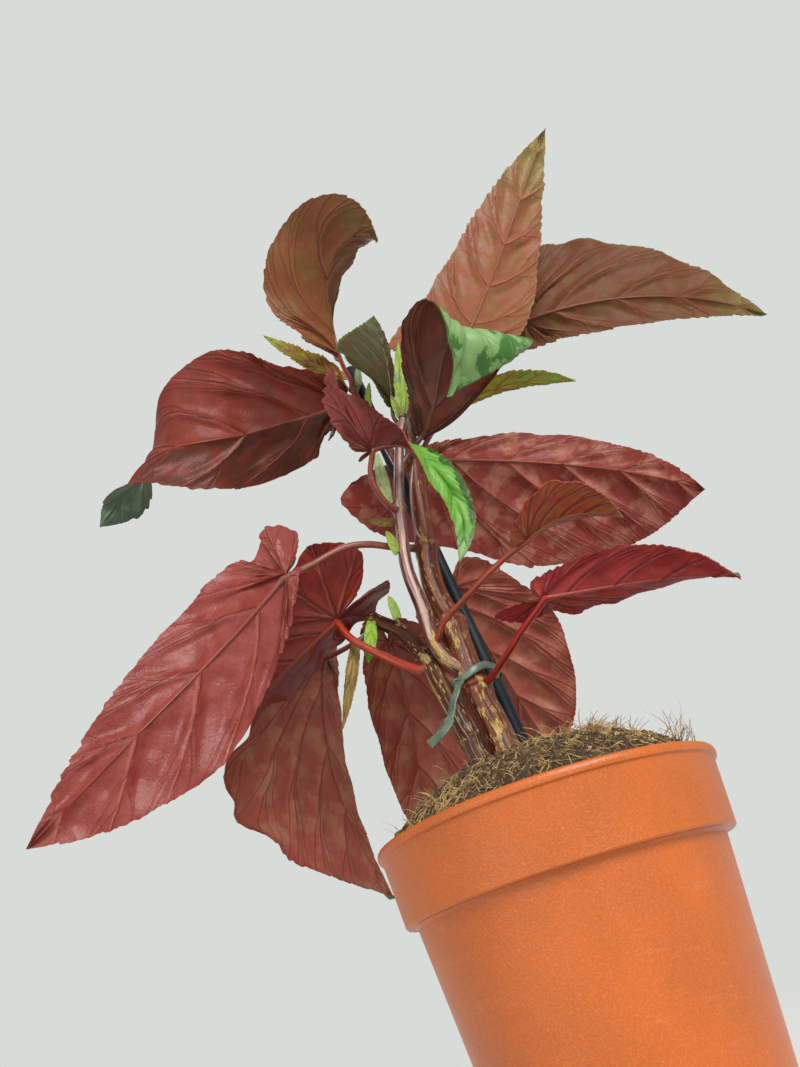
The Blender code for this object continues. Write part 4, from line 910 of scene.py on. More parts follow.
def leaf_group():
    """The leaf's skin: patches, painted sheen in soft patches, forked veins with a painted highlight along
    one side, a fine net and a rim. Puts out colour, roughness, height.
    """
    found = bpy.data.node_groups.get("leaf_skin")
    if found:
        return found
    # The input Satin is the colour of the painted sheen and of the painted highlight beside each vein
    p, given, out = shader_group(
        "leaf_skin",
        {"Main": GREY, "Patch": GREY, "Vein": GREY, "Tip": GREY, "Rim": GREY, "Satin": GREY, "Half": GREY,
         "Half Side": 0.0, "Pale Line": 0.5, "Tip From": 1.2, "Length": 0.1, "Patch Size": 60.0,
         "Patch Amount": 0.5, "Patch Blur": 0.16, "Edge Patches": 0.0, "Vein Amount": 1.0,
         "Roughness": 0.42},
        {"Color": "Color", "Roughness": "Float", "Height": "Float"})
    flat = p.uv("flat")
    ahead, sideways = p.split(flat)[:2]
    column, row = p.split(p.uv("veins"))[:2]
    wobble = (p.noise(flat, 90.0) - 0.5) * 0.09
    aside = p.math("FRACT", column) - 0.5 + wobble
    span = p.attribute("span")
    off = aside * span
    wide = 1.0 - row * 0.55
    main_vein = p.line(off, 0.0, wide)
    # A painted highlight: a pale line along one side of each vein, where light would catch its ridge
    painted_vein_highlight = p.line(off - wide * 1.35, 0.0, wide)
    forks = 0.0
    for side, start in FORKS:
        way = p.mask(row, start, FORK_END) * side
        forks = p.highest(forks, p.line(off, way * span, 0.62) * p.mask(row, start, start + 0.06))
    net = p.mask(p.cells(p.warp(flat, 0.003), 190.0, "DISTANCE_TO_EDGE"), 0.12, 0.0)
    fine = p.mask(p.cells(flat, 420.0, "DISTANCE_TO_EDGE"), 0.14, 0.0)

    own_half = p.mask(sideways * given["Half Side"], 0.0, 0.002)
    near_edge = p.mask(row, 0.30, 0.90) * given["Edge Patches"] * (1.0 - own_half)
    low = 0.72 - given["Patch Amount"] * 0.35 - near_edge * 0.33
    patches = p.mask(p.noise(flat, given["Patch Size"], 4.0, 0.6), low, low + given["Patch Blur"])
    # Where a look gives one half a colour of its own, it paints shade or light on that half
    tone = p.mix(patches, p.mix(own_half, given["Main"], given["Half"]), given["Patch"])
    along = ahead / given["Length"]
    towards_tip = p.mask(along + wobble * 0.8, given["Tip From"], given["Tip From"] + 0.35)
    tone = p.mix(towards_tip, tone, given["Tip"])

    # Painted sheen: paler patches in the puffs between the veins, mixed with a little fine grain, then the
    # painted vein highlight, all in the Satin colour
    puff = p.mask(p.noise(p.warp(flat, 0.002), 150.0, 1.0), 0.36, 0.64)
    painted_sheen = puff * p.mask(p.noise(flat, 30.0), 0.40, 0.62)
    grain = p.mask(p.noise(flat, 900.0, 2.0), 0.25, 0.75)
    tone = p.mix((grain * 0.16 + painted_sheen * 0.34) * 0.36, tone, given["Satin"])
    tone = p.mix(painted_vein_highlight * given["Pale Line"], tone, given["Satin"])
    lines = p.highest(p.highest(main_vein * 0.74, forks * 0.5), net * 0.14)
    lines = lines * (given["Vein Amount"] * p.mask(along, 0.99, 0.88))
    tone = p.mix(lines, tone, given["Vein"])
    p.feed(out["Color"], p.mix(p.mask(row, 0.965, 0.995) * 0.5, tone, given["Rim"]))
    p.feed(out["Roughness"], given["Roughness"] + (p.noise(flat, 240.0) - 0.5) * 0.25)
    p.feed(out["Height"], main_vein * 0.5 + forks * 0.5 + net * 0.08 + fine * 0.08 - puff * 0.24)
    return p.tree


def principled(name, **values):
    """A new material, its pattern and its shader, with the plain values set on the shader's sockets."""
    made = bpy.data.materials.new(name)
    made.use_nodes = True
    shader = made.node_tree.nodes["Principled BSDF"]
    pattern = Pattern(made.node_tree)
    for label, value in values.items():
        pattern.feed(shader.inputs[label.replace("_", " ")], value)
    return made, pattern, shader


def finish(p, shader, tone, roughness, height, distance, strength):
    """Feeds the shader its colour and roughness, and a surface that is bumped by the height."""
    p.feed(shader.inputs["Base Color"], tone)
    p.feed(shader.inputs["Roughness"], roughness)
    bump = {"Height": height, "Distance": distance, "Strength": strength}
    p.feed(shader.inputs["Normal"], p.value("Normal", "Bump", bump))


def leaf_material(name, leaf, look, upper):
    """One face of a leaf, from the shared leaf skin."""
    made, p, shader = principled(name, Specular_IOR_Level=0.28)
    main = look.top if upper else look.under
    # The Satin colour: the main colour drawn towards a pale sheen, used for the painted sheen and the
    # painted vein highlight
    painted_sheen = PAINTED_SHEEN_GREEN if main[1] > 0.9 * main[0] else PAINTED_SHEEN_PINK
    values = {"Main": main, "Tip": look.tip, "Rim": look.rim, "Tip From": look.tip_from,
              "Satin": blend(main, painted_sheen, 0.28 * min(1.0, max(main) / 0.22)), "Length": leaf.length * MM}
    if upper:
        edge = look.edge_patches
        values |= {"Patch": look.patch, "Half": main, "Half Side": look.clear_side,
                   "Vein": blend(look.top, look.patch, 0.4), "Vein Amount": 0.5, "Pale Line": 0.2,
                   "Patch Size": 110.0 if edge else 75.0, "Patch Amount": 0.62 * (1 - edge),
                   "Patch Blur": 0.16 - 0.13 * edge, "Edge Patches": edge, "Roughness": look.shine - 0.06}
    else:
        values |= {"Patch": look.tint, "Half": look.half, "Half Side": look.half_side,
                   "Vein": look.vein, "Vein Amount": 1.0, "Pale Line": 0.55,
                   "Patch Size": 66.0, "Patch Amount": 0.75, "Roughness": look.shine}
    skin = p.node("Group", values, node_tree=leaf_group())
    tone, roughness, height = (Value(p, socket) for socket in skin.outputs)
    finish(p, shader, tone, roughness, height, 0.0007, 0.5 if upper else 0.6)
    return made


def stalk_material(name, base, gloss=0.12):
    """A glossy leaf stalk with golden specks and dark streaks along it."""
    made, p, shader = principled(name, Coat_Weight=gloss, Coat_Roughness=0.2, Specular_IOR_Level=0.35)
    flat = p.uv("flat")
    streaks = p.noise(p.stretch(flat, 700.0, 70.0, 1.0), 1.0)
    specks = p.mask(p.cells(p.stretch(flat, 760.0, 260.0, 1.0), 1.0), 0.22, 0.10)
    specks = specks * p.mask(p.noise(flat, 120.0), 0.48, 0.6)
    pale = (0.55 * base[0] + 0.30, 0.5 * base[1] + 0.17, 0.5 * base[2] + 0.06)
    tone = p.mix(p.mask(streaks, 0.35, 0.65), shade(base, 0.55 if gloss else 0.8), base)
    tone = p.mix(p.mask(p.split(p.uv("veins"))[1], 0.045, 0.012) * 0.8, tone, FOOT_BROWN)
    tone = p.mix(specks * 0.55, tone, pale)
    finish(p, shader, tone, 0.24 + streaks * 0.2, streaks * 0.5 + specks, 0.0003, 0.5)
    return made


def bark_material(name, bark, cork, silver_and_sheen, strands=0.0, stripe=0.0):
    """Cane bark: dark streaks along it, paler clouds that are a painted sheen on the young cane, pale
    specks, corky patches where the mesh's mark says so, golden strands on the old foot, and on the side
    towards the front a painted sheen stripe between dark lines of painted shade."""
    made, p, shader = principled(name, Specular_IOR_Level=0.35)
    flat, mark, dark = p.uv("flat"), p.attribute("mark"), shade(bark, 0.38)
    streaks = p.noise(p.stretch(flat, 640.0, 30.0, 1.0), 1.0, 4.0, 0.6)
    clouds = p.mask(p.noise(p.stretch(flat, 330.0, 12.0, 1.0), 1.0), 0.48, 0.66)
    tone = p.mix(p.mask(streaks, 0.38, 0.60), dark, bark)
    # Paler clouds along the bark: on the young cane they are a painted sheen
    tone = p.mix(clouds * 0.75, tone, silver_and_sheen)

    turn, far = p.split(p.uv("veins"))[:2]
    turn = turn + (p.noise(flat, 60.0) - 0.5) * 0.12
    # On the young cane's front: a wide band of painted shade, with the narrower painted sheen stripe laid
    # over its middle, so dark lines of painted shade stay on each side
    tone = p.mix(p.line(turn, STRIPE_TURN, 0.17) * (0.7 * stripe), tone, dark)
    broken = (0.35 + p.mask(streaks, 0.42, 0.55) * 0.65) * p.line(turn, STRIPE_TURN, 0.11)
    tone = p.mix(broken * stripe, tone, silver_and_sheen)

    fibrous = p.mask(p.noise(p.stretch(flat, 560.0, 9.0, 1.0), 1.0, 3.0, 0.6), 0.54, 0.60)
    strand = fibrous * (p.mask(far, 0.66, 0.50) * strands)
    tone = p.mix(strand, tone, shade(cork, 0.85))
    crowd = p.noise(flat, 90.0) + mark * 0.5
    specks = p.mask(p.cells(p.stretch(flat, 820.0, 190.0, 1.0), 1.0), 0.34, 0.16)
    specks = specks * p.mask(crowd, 0.45, 0.58)
    tone = p.mix(specks * 0.8, tone, cork)

    torn = p.noise(p.stretch(flat, 420.0, 110.0, 1.0), 1.0, 5.0, 0.65)
    patch = p.mask(mark + (torn - 0.5) * 2.2, 0.50, 0.62)
    flakes = p.noise(p.stretch(flat, 900.0, 240.0, 1.0), 1.0, 4.0, 0.7)
    tone = p.mix(patch, tone, p.mix(p.mask(flakes, 0.3, 0.7), shade(cork, 0.4), shade(cork, 1.25)))
    height = streaks * 0.5 + patch * flakes * 1.2 + strand * 0.8 + specks * 0.4
    finish(p, shader, tone, 0.36 + patch * 0.42, height, 0.0006, 0.8)
    return made


def pot_material(plastic):
    """Moulded plastic: fine orange-peel grain, faint clouding, scuffs and dust, and pale specks."""
    made, p, shader = principled("pot_plastic_finish", Specular_IOR_Level=0.55)
    place = p.place()
    cloud = p.noise(place, 26.0, 4.0, 0.55)
    tone = p.mix(p.mask(cloud, 0.3, 0.75), shade(plastic, 0.86), shade(plastic, 1.07))
    specks = p.mask(p.cells(place, 260.0), 0.13, 0.05) * p.mask(p.noise(place, 60.0), 0.52, 0.62)
    tone = p.mix(specks * 0.3, tone, (0.75, 0.42, 0.25))
    scuff = p.mask(p.noise(p.stretch(place, 30.0, 30.0, 140.0), 1.0, 5.0, 0.7), 0.62, 0.78)
    tone = p.mix(scuff * 0.16, tone, (0.8, 0.45, 0.3))
    peel = p.noise(place, 1500.0, 2.0)
    tone = p.mix(p.mask(peel, 0.4, 0.75) * 0.34, tone, shade(plastic, 1.7))
    finish(p, shader, tone, 0.25 + cloud * 0.14, peel + specks * 0.5, 0.00025, 0.8)
    return made


def soil_material(earth, fibre):
    """Moist potting mix: dark grains of many sizes, with tan bits pressed in."""
    made, p, shader = principled("soil_finish", Specular_IOR_Level=0.3)
    place = p.place()
    grain = p.noise(place, 420.0, 6.0, 0.7)
    bits = p.mask(p.noise(p.stretch(place, 900.0, 260.0, 500.0), 1.0), 0.60, 0.68)
    tone = p.mix(p.mask(grain, 0.3, 0.7), shade(earth, 0.35), shade(earth, 1.5))
    tone = p.mix(bits * 0.7, tone, fibre)
    finish(p, shader, tone, 0.78 + grain * 0.2, grain * 1.2 - p.cells(place, 240.0), 0.0016, 1.0)
    return made


def varied_material(name, dark, pale, scale, roughness=0.8):
    """A rough finish that goes from dark to pale over the piece."""
    made, p, shader = principled(name, Specular_IOR_Level=0.3)
    cloud = p.noise(p.place(), scale, 4.0, 0.7)
    tone = p.mix(p.mask(cloud, 0.35, 0.65), dark, pale)
    finish(p, shader, tone, (roughness - 0.1) + cloud * 0.2, cloud, 0.0004, 0.6)
    return made


def stake_material(coating):
    """Satin coating over a rough core, with fine ridges along it and pale dust."""
    made, p, shader = principled("stake_coating_finish", Specular_IOR_Level=0.25)
    place = p.place()
    dust = p.mask(p.noise(p.stretch(place, 260.0, 260.0, 60.0), 1.0, 5.0, 0.7), 0.5, 0.8)
    ridges = p.noise(p.stretch(place, 1400.0, 1400.0, 90.0), 1.0, 2.0)
    tone = p.mix(dust * 0.3, coating, (0.035, 0.055, 0.062))
    finish(p, shader, tone, 0.48 + dust * 0.25, ridges, 0.0002, 0.5)
    return made


def tie_material(tint):
    """Translucent soft plastic, clouded and a little uneven."""
    made, p, shader = principled("tie_finish", Transmission_Weight=0.15, Coat_Weight=0.3, IOR=1.45,
                                 Coat_Roughness=0.2)
    cloud = p.noise(p.place(), 180.0, 4.0, 0.6)
    tone = p.mix(p.mask(cloud, 0.35, 0.7), shade(tint, 0.6), shade(tint, 1.25))
    finish(p, shader, tone, 0.26 + cloud * 0.25, cloud, 0.0003, 0.5)
    return made


def floor_material(floor, backdrop):
    """Plain pale floor, almost matt, that turns into the backdrop's colour away from the pot."""
    made, p, shader = principled("floor_finish", Specular_IOR_Level=0.0, Emission_Strength=1.0)
    place, black = p.place(), (0.0, 0.0, 0.0)
    cloud = p.noise(place, 3.0)
    away = p.mask(p.value("Value", "VectorMath", {0: place}, operation="LENGTH"), 0.12, 0.9)
    near = p.mix(cloud, shade(floor, 0.985), floor)
    p.feed(shader.inputs["Base Color"], p.mix(away, near, black))
    p.feed(shader.inputs["Emission Color"], p.mix(away, black, backdrop))
    p.feed(shader.inputs["Roughness"], 0.8 + cloud * 0.1)
    return made


# Pieces

def place_piece(obj, nodes):
    """Rides the finished piece on the part's body, in the place of its nodes."""
    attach(obj, BODY)
    if nodes:
        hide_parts(*nodes)
    return obj


def deselect_all():
    if bpy.context.object and bpy.context.object.mode != "OBJECT":
        bpy.ops.object.mode_set(mode="OBJECT")
    bpy.ops.object.select_all(action="DESELECT")


def apply_modifiers(obj):
    bpy.context.view_layer.objects.active = obj
    for name in [m.name for m in obj.modifiers]:
        bpy.ops.object.modifier_apply(modifier=name)


# How far the edges of the moulding are rounded off, and the sides of the pot's and the holes' circles
ROUND = 0.0012
POT_SIDES, HOLE_SIDES = 160, 32


def pot_profile(pot):
    """The pot's rings as radius and height, up the outside, over the lip and down the inside."""
    lip_foot = pot.height - pot.lip_height
    neck = lip_foot - pot.band_height
    middle = pot.height - pot.lip_height / 2
    inner_lip = pot.band_top_radius - pot.wall
    outside = [(pot.base_radius, ROUND), (pot.neck_radius, neck - ROUND), (pot.neck_radius + ROUND, neck),
               (pot.band_foot_radius - ROUND / 2, neck), (pot.band_foot_radius, neck + ROUND / 2),
               (pot.band_top_radius - 0.0002, lip_foot - 0.0005), (pot.band_top_radius, lip_foot)]
    lip = [(pot.lip_radius - ROUND * (1 - math.sin(t)), middle - pot.lip_height / 2 * math.cos(t))
           for t in np.linspace(0.25 * math.pi, math.pi, 7)]
    inside = [(inner_lip + 0.0004, pot.height), (inner_lip, pot.height - 0.0004),
              (inner_lip - ROUND / 2, lip_foot), (pot.band_foot_radius - pot.wall, neck + 0.0025),
              (pot.neck_radius - pot.wall, neck - 0.001), (pot.base_radius - pot.wall, pot.wall + 0.001),
              (pot.base_radius - pot.wall - 0.001, pot.wall)]
    return outside + lip + inside


class BEGONIA_OT_add_pot(bpy.types.Operator):
    """Add the moulded pot: a disc whose rim is extruded up the profile, with drain holes"""
    bl_idname = "begonia.add_pot"
    bl_label = "Add pot"

    def execute(self, context):
        pot = settings("pot")
        deselect_all()
        radius, height = pot.base_radius - ROUND, 0.0
        bpy.ops.mesh.primitive_circle_add(vertices=POT_SIDES, radius=radius, fill_type="NGON")
        shell = context.object
        shell.name = "pot_shell"
        bpy.ops.object.mode_set(mode="EDIT")
        bpy.ops.mesh.select_all(action="SELECT")
        bpy.ops.mesh.region_to_loop()
        for next_radius, next_height in pot_profile(pot):
            bpy.ops.mesh.extrude_region_move(
                TRANSFORM_OT_translate={"value": (0, 0, next_height - height)})
            bpy.ops.transform.resize(value=(next_radius / radius, next_radius / radius, 1.0))
            radius, height = next_radius, next_height
        bpy.ops.mesh.edge_face_add()
        bpy.ops.mesh.select_all(action="SELECT")
        bpy.ops.mesh.normals_make_consistent(inside=False)
        bpy.ops.object.mode_set(mode="OBJECT")
        for hole in range(pot.drain_holes):
            turn = 2 * math.pi * (hole + 0.5) / pot.drain_holes
            bpy.ops.mesh.primitive_cylinder_add(
                vertices=HOLE_SIDES, radius=pot.drain_radius, depth=0.01,
                location=(pot.drain_ring * math.cos(turn), pot.drain_ring * math.sin(turn), pot.wall / 2))
            drill = context.object
            cut = shell.modifiers.new("Drain hole", "BOOLEAN")
            cut.operation, cut.object = "DIFFERENCE", drill
            apply_modifiers(shell)
            bpy.data.objects.remove(drill, do_unlink=True)
        deselect_all()
        shell.select_set(True)
        context.view_layer.objects.active = shell
        bpy.ops.object.shade_smooth_by_angle(angle=math.radians(32))
        shell.data.materials.append(pot_material(tuple(pot.plastic)))
        place_piece(shell, ["pot"])
        return {"FINISHED"}


# Where the canes and the stake come out of the soil, with the room they take there
STEM_FEET = (((-7.5, -14), 8.5), ((-18, -22), 6.0), ((0.5, 4.5), 5.0))
# The dome's foot, the seed of its clods, and its grit: how close the waves lie and how high they are
SOIL_FOOT = 112
CLOD_SEED = 7
GRIT = ((0.9, 0.7), (2.1, 0.45), (4.3, 0.22))
DOME_RINGS, DOME_SIDES = 110, 300
# The smallest and largest crumbs and chips, and the chips' colours
CRUMB_SIZES, CHIP_SIZES = (0.5, 1.9), (0.5, 1.1)
CHIP_TAN, CHIP_WHITE = (0.50, 0.44, 0.34), (0.80, 0.77, 0.70)


def near_stem(x, y):
    """Whether a place on the soil is taken by a cane or the stake."""
    return any((x - fx) ** 2 + (y - fy) ** 2 < r * r for (fx, fy), r in STEM_FEET)


class Dome:
    """The soil's surface in millimetres: a dome that falls to the wall, with clods."""

    def __init__(self):
        pot, soil = settings("pot"), settings("soil")
        self.level, self.rise = soil.level / MM, soil.rise / MM
        self.rim = (pot.band_top_radius - pot.wall) / MM - 0.5
        rng = np.random.default_rng(CLOD_SEED)
        self.waves = [(*rng.normal(0, 0.28, 2), rng.uniform(0, 2 * math.pi)) for _ in range(9)]

    def height(self, x, y):
        out = np.clip(np.hypot(x, y) / self.rim, 0, 1)
        relief = sum(np.sin(a * x + b * y + c) for a, b, c in self.waves) / math.sqrt(len(self.waves))
        return self.level + self.rise * (1 - out ** 3) + 2.0 * relief * (1.15 - out)


# Clumps of coir on the soil: place, spread, share of all fibres, share of them that stand, their length
CLUMPS = (((57, -26), 2.0, 0.018, 1.0, 27), ((24, -31), 8, 0.16, 0.35, 11), ((40, -30), 7, 0.08, 0.3, 9),
          ((-30, -50), 9, 0.10, 0.25, 10), ((-48, -38), 6, 0.06, 0.3, 9), ((5, -45), 8, 0.07, 0.2, 9))
# A fibre's radius at each of its points, as a share of its first
FIBRE_TAPER = (1, 1, 0.95, 0.85, 0.7, 0.4)


def fibre_foot(rng, rim):
    """Where a fibre starts, whether it stands, and its length: in a clump or anywhere on the soil."""
    draw, place = rng.uniform(), rng.normal(0, 1, 2)
    out, turn = rim * math.sqrt(rng.uniform(0.02, 0.97)), rng.uniform(0, 2 * math.pi)
    far, stand = rng.uniform(0.35, 1.0), rng.uniform()
    for centre, spread, share, standing, length in CLUMPS:
        if draw < share:
            x, y = np.array(centre) + spread * place
            inside = min(1.0, (rim - 1.5) / math.hypot(x, y))
            return x * inside, y * inside, stand < standing, length * far
        draw -= share
    return out * math.cos(turn), out * math.sin(turn), stand < 0.08, 12 * far


class BEGONIA_OT_add_soil(bpy.types.Operator):
    """Add the soil: a lumpy dome, with loose crumbs, coir fibres and pale chips on it"""
    bl_idname = "begonia.add_soil"
    bl_label = "Add soil"

    def execute(self, context):
        soil, surface, rng = settings("soil"), Dome(), np.random.default_rng(SEED)
        self.add_dome(soil, surface, rng)
        self.add_crumbs(soil, surface, rng)
        self.add_fibres(soil, surface, rng)
        return {"FINISHED"}

    def add_dome(self, soil, surface, rng):
        """The dome with its grit, closed at its foot inside the pot."""
        rim = surface.rim
        out = rim * (1 - np.linspace(0, 1, DOME_RINGS)) + 1e-6
        turn = np.arange(DOME_SIDES) * 2 * math.pi / DOME_SIDES
        x, y = out[:, None] * np.cos(turn)[None], out[:, None] * np.sin(turn)[None]
        grit = np.zeros_like(x)
        for scale, size in GRIT:
            for _ in range(6):
                a, b = rng.normal(0, scale, 2)
                grit += size / 2 * np.sin(a * x + b * y + rng.uniform(0, 2 * math.pi))
        z = surface.height(x, y) + grit * np.clip((rim - out[:, None]) / 4, 0.3, 1)
        foot = np.stack([rim * np.cos(turn), rim * np.sin(turn), 0 * turn + SOIL_FOOT], 1)
        faces = tube_faces(DOME_RINGS + 1, DOME_SIDES, cap=False) + [tuple(reversed(range(DOME_SIDES)))]
        shape = Shape()
        shape.add(np.vstack([foot, np.stack([x, y, z], -1).reshape(-1, 3)]), faces)
        dome = shape.piece("soil_dome", [soil_material(tuple(soil.earth), tuple(soil.fibre))], 180)
        work = bmesh.new()
        work.from_mesh(dome.data)
        bmesh.ops.remove_doubles(work, verts=work.verts, dist=1e-7)
        work.to_mesh(dome.data)
        work.free()
        place_piece(dome, ["soil"])

    def add_crumbs(self, soil, surface, rng):
        """Crumbs and chips: squashed rough lumps, half sunk in the dome."""
        work = bmesh.new()
        bmesh.ops.create_icosphere(work, subdivisions=1, radius=1.0)
        ball = np.array([v.co for v in work.verts])
        ball_faces = [[v.index for v in f.verts] for f in work.faces]
        work.free()
        crumb = varied_material("crumb_finish", shade(soil.earth, 0.6), shade(soil.earth, 2.4), 160.0, 0.9)
        chip = varied_material("chip_finish", CHIP_TAN, CHIP_WHITE, 300.0, 0.7)
        for name, many, sizes, look in (("soil_crumbs", soil.crumbs, CRUMB_SIZES, crumb),
                                        ("soil_chips", soil.chips, CHIP_SIZES, chip)):
            shape = Shape()
            for _ in range(many):
                out, turn = surface.rim * math.sqrt(rng.uniform(0.0, 0.985)), rng.uniform(0, 2 * math.pi)
                x, y = out * math.cos(turn), out * math.sin(turn)
                if near_stem(x, y):
                    continue
                size = rng.uniform(*sizes) * rng.uniform(0.6, 1.0)
                lump = ball * (size * rng.uniform(0.6, 1.2, 3)) * rng.uniform(0.8, 1.2, (len(ball), 1))
                spin = Matrix.Rotation(rng.uniform(0, 6.28), 3, Vector(rng.normal(0, 1, 3)))
                place = (x, y, surface.height(x, y) + 0.35 * size)
                shape.add(lump @ np.array(spin) + place, ball_faces)
            place_piece(shape.piece(name, [look], 40), [])

    def add_fibres(self, soil, surface, rng):
        """Coir: thin bent hairs that lie on the dome, with a few that stand up from it."""
        shape, made, edge = Shape(), 0, surface.rim - 0.4
        steps = len(FIBRE_TAPER) - 1
        while made < soil.fibres:
            x, y, standing, length = fibre_foot(rng, surface.rim)
            if near_stem(x, y):
                continue
            made += 1
            heading, bend = rng.uniform(0, 2 * math.pi), rng.normal(0, 0.9)
            rise = rng.uniform(0.5, 1.3) if standing else rng.normal(0.08, 0.16)
            points, at = [], np.array([x, y, surface.height(x, y) + 0.2])
            for step in range(steps + 1):
                points.append(at.copy())
                way, level = heading + bend * step / steps, math.cos(rise)
                ahead = np.array([math.cos(way) * level, math.sin(way) * level, math.sin(rise)])
                at = at + length / steps * ahead
                if math.hypot(at[0], at[1]) > edge:
                    at[:2] *= edge / math.hypot(at[0], at[1])
                ground = surface.height(at[0], at[1]) + 0.25
                at[2] = max(at[2], ground) if standing else ground + abs(rng.normal(0, 0.35))
                rise *= 0.75
            add_tube(shape, np.array(points), rng.uniform(0.07, 0.18) * np.array(FIBRE_TAPER), 4)
        coir = varied_material("coir_finish", shade(soil.fibre, 0.35), shade(soil.fibre, 1.4), 160.0)
        place_piece(shape.piece("soil_fibres", [coir], 60), [])


# How closely a cane's route and its rings are divided
CANE_STEP, CANE_SIDES, SPUR_SIDES = 0.8, 40, 16
# Grooves round a cane: how many, and their depth as a share of its radius
GROOVES = ((3, 0.05), (5, 0.035), (8, 0.022))
# A node's ridge and the scar line below it: height as a share of the radius, place and width
NODE_RINGS = ((0.10, 0.8, 0.7), (-0.07, -0.6, 0.5))


def stem_relief(stem, route, radii, sides, rng):
    """Grooves along the stem, a ridge with a scar line at each node, and where its cork lies."""
    share = reach(route)
    turn, ways = tube_ways(route, sides)
    relief, mark = np.zeros((2, len(route), sides))
    for ribs, size in GROOVES:
        drift = rng.uniform(0, 6) + rng.normal(0, 2.5) * share
        relief += size * radii[:, None] * np.sin(ribs * turn[None] + drift[:, None])
    for node in stem.nodes:
        off = (share - node) * distance(route)[-1]
        for high, place, wide in NODE_RINGS:
            relief += (high * radii * np.exp(-((off - place) / wide) ** 2))[:, None]
        mark += (0.44 * np.exp(-((off - 0.6) / 1.3) ** 2))[:, None]
    for level, bearing, long, wide, much in stem.cork:
        face = np.array([math.cos(math.radians(bearing)), math.sin(math.radians(bearing)), 0])
        aside = np.arccos(np.clip(ways @ face, -1, 1)) * radii[:, None]
        up = (route[:, 2] - level)[:, None]
        strength = much * np.exp(-(aside / wide) ** 2 - (up / long * 2.2) ** 4)
        mark = np.maximum(mark, strength)
        relief += 0.25 * strength
    return relief, mark


def stem_radii(stem, share):
    """The radius at each share of a stem's length, with a swelling at each node."""
    radii = stem.radius[0] + (stem.radius[1] - stem.radius[0]) * share ** 1.3
    for node in stem.nodes:
        radii = radii * (1 + stem.swell * np.exp(-((share - node) / 0.02) ** 2))
    return radii


# The canes in old bark, and the bark colours of the side cane and the top shoot
SIDE_BARK, TOP_BARK = (0.085, 0.024, 0.014), (0.20, 0.045, 0.025)


class BEGONIA_OT_add_canes(bpy.types.Operator):
    """Add the canes, with their nodes, grooves and corky patches"""
    bl_idname = "begonia.add_canes"
    bl_label = "Add canes"

    def execute(self, context):
        canes = settings("canes")
        rng = np.random.default_rng(SEED + 1)
        cork = tuple(canes.cork)
        # The young cane's pale colour is its painted sheen, in its clouds and its front stripe
        young = bark_material("young_cane_finish", tuple(canes.young), cork, (0.56, 0.38, 0.34),
                              stripe=0.85)
        finishes = {
            "cane_main": bark_material("old_cane_finish", tuple(canes.bark), cork, (0.27, 0.085, 0.035)),
            "cane_side": bark_material("side_cane_finish", SIDE_BARK, cork, (0.17, 0.085, 0.035),
                                       strands=1.0),
            "cane_young": young,
            "cane_top": bark_material("top_cane_finish", TOP_BARK, cork, (0.33, 0.12, 0.08))}
        for name, stem in STEMS.items():
            shape = Shape()
            route = even_route(stem.route, CANE_STEP)
            radii = stem_radii(stem, reach(route))
            relief, mark = stem_relief(stem, route, radii, CANE_SIDES, rng)
            add_tube(shape, route, radii, CANE_SIDES, 0, relief, mark)
            if name == "cane_main":
                spur = even_route(SPUR.route, CANE_STEP)
                add_tube(shape, spur, np.linspace(*SPUR.radius, len(spur)), SPUR_SIDES, 1)
            place_piece(shape.piece(name + "_bark", [finishes[name], young]), [name])
        return {"FINISHED"}


class BEGONIA_OT_add_stake(bpy.types.Operator):
    """Add the stake: a bevelled rod, sloped to its place"""
    bl_idname = "begonia.add_stake"
    bl_label = "Add stake"

    def execute(self, context):
        canes = settings("canes")
        foot, top = (Vector(p) * MM for p in STAKE_ROUTE)
        deselect_all()
        along = top - foot
        bpy.ops.mesh.primitive_cylinder_add(vertices=40, radius=canes.stake_radius, depth=along.length)
        rod = context.object
        rod.name = "stake_rod"
        soften = rod.modifiers.new("Round ends", "BEVEL")
        soften.width, soften.segments, soften.limit_method = 0.0011, 4, "ANGLE"
        apply_modifiers(rod)
        rod.rotation_euler = along.to_track_quat("Z", "Y").to_euler()
        rod.location = (foot + top) / 2
        bpy.ops.object.transform_apply(location=True, rotation=True, scale=True)
        bpy.ops.object.shade_smooth_by_angle(angle=math.radians(40))
        rod.data.materials.append(stake_material(tuple(canes.stake)))
        place_piece(rod, ["stake"])
        return {"FINISHED"}


def on_route(points, level):
    """Where a route passes a height."""
    route = smooth_route(points)
    return np.array([np.interp(level, route[:, 2], route[:, axis]) for axis in (0, 1)])


# The tie's strip: the sides of its cross-section, and how round its edges are, from 0 for square to 1
STRIP_SIDES, STRIP_ROUNDNESS = 12, 0.35
# Which way its width runs in the loop, the tail and the knot
LOOP_SIDE, TAIL_SIDE, KNOT_SIDE = (0.0, 0.0, 1.0), (0.95, -0.3, 0.0), (0.2, 1.0, 0.2)


def add_strip(shape, route, side_way, wide, thick, closed):
    """A flat band with round edges along the route. Its width is one value, or one for each place."""
    ahead = np.roll(route, -1, 0) - np.roll(route, 1, 0) if closed else np.gradient(route, axis=0)
    ahead /= np.linalg.norm(ahead, axis=1)[:, None]
    corners = [(math.copysign(abs(math.cos(t)) ** STRIP_ROUNDNESS, math.cos(t)), math.sin(t))
               for t in np.arange(STRIP_SIDES) * 2 * math.pi / STRIP_SIDES + 0.15]
    points = []
    for centre, way, width in zip(route, ahead, np.ones(len(route)) * wide):
        across = np.array(side_way, float) - way * (np.array(side_way) @ way)
        across *= width / 2 / np.linalg.norm(across)
        out = np.cross(way, across)
        out *= thick / 2 / np.linalg.norm(out)
        points += [centre + a * across + b * out for a, b in corners]
    shape.add(points, tube_faces(len(route), len(corners), closed=closed))


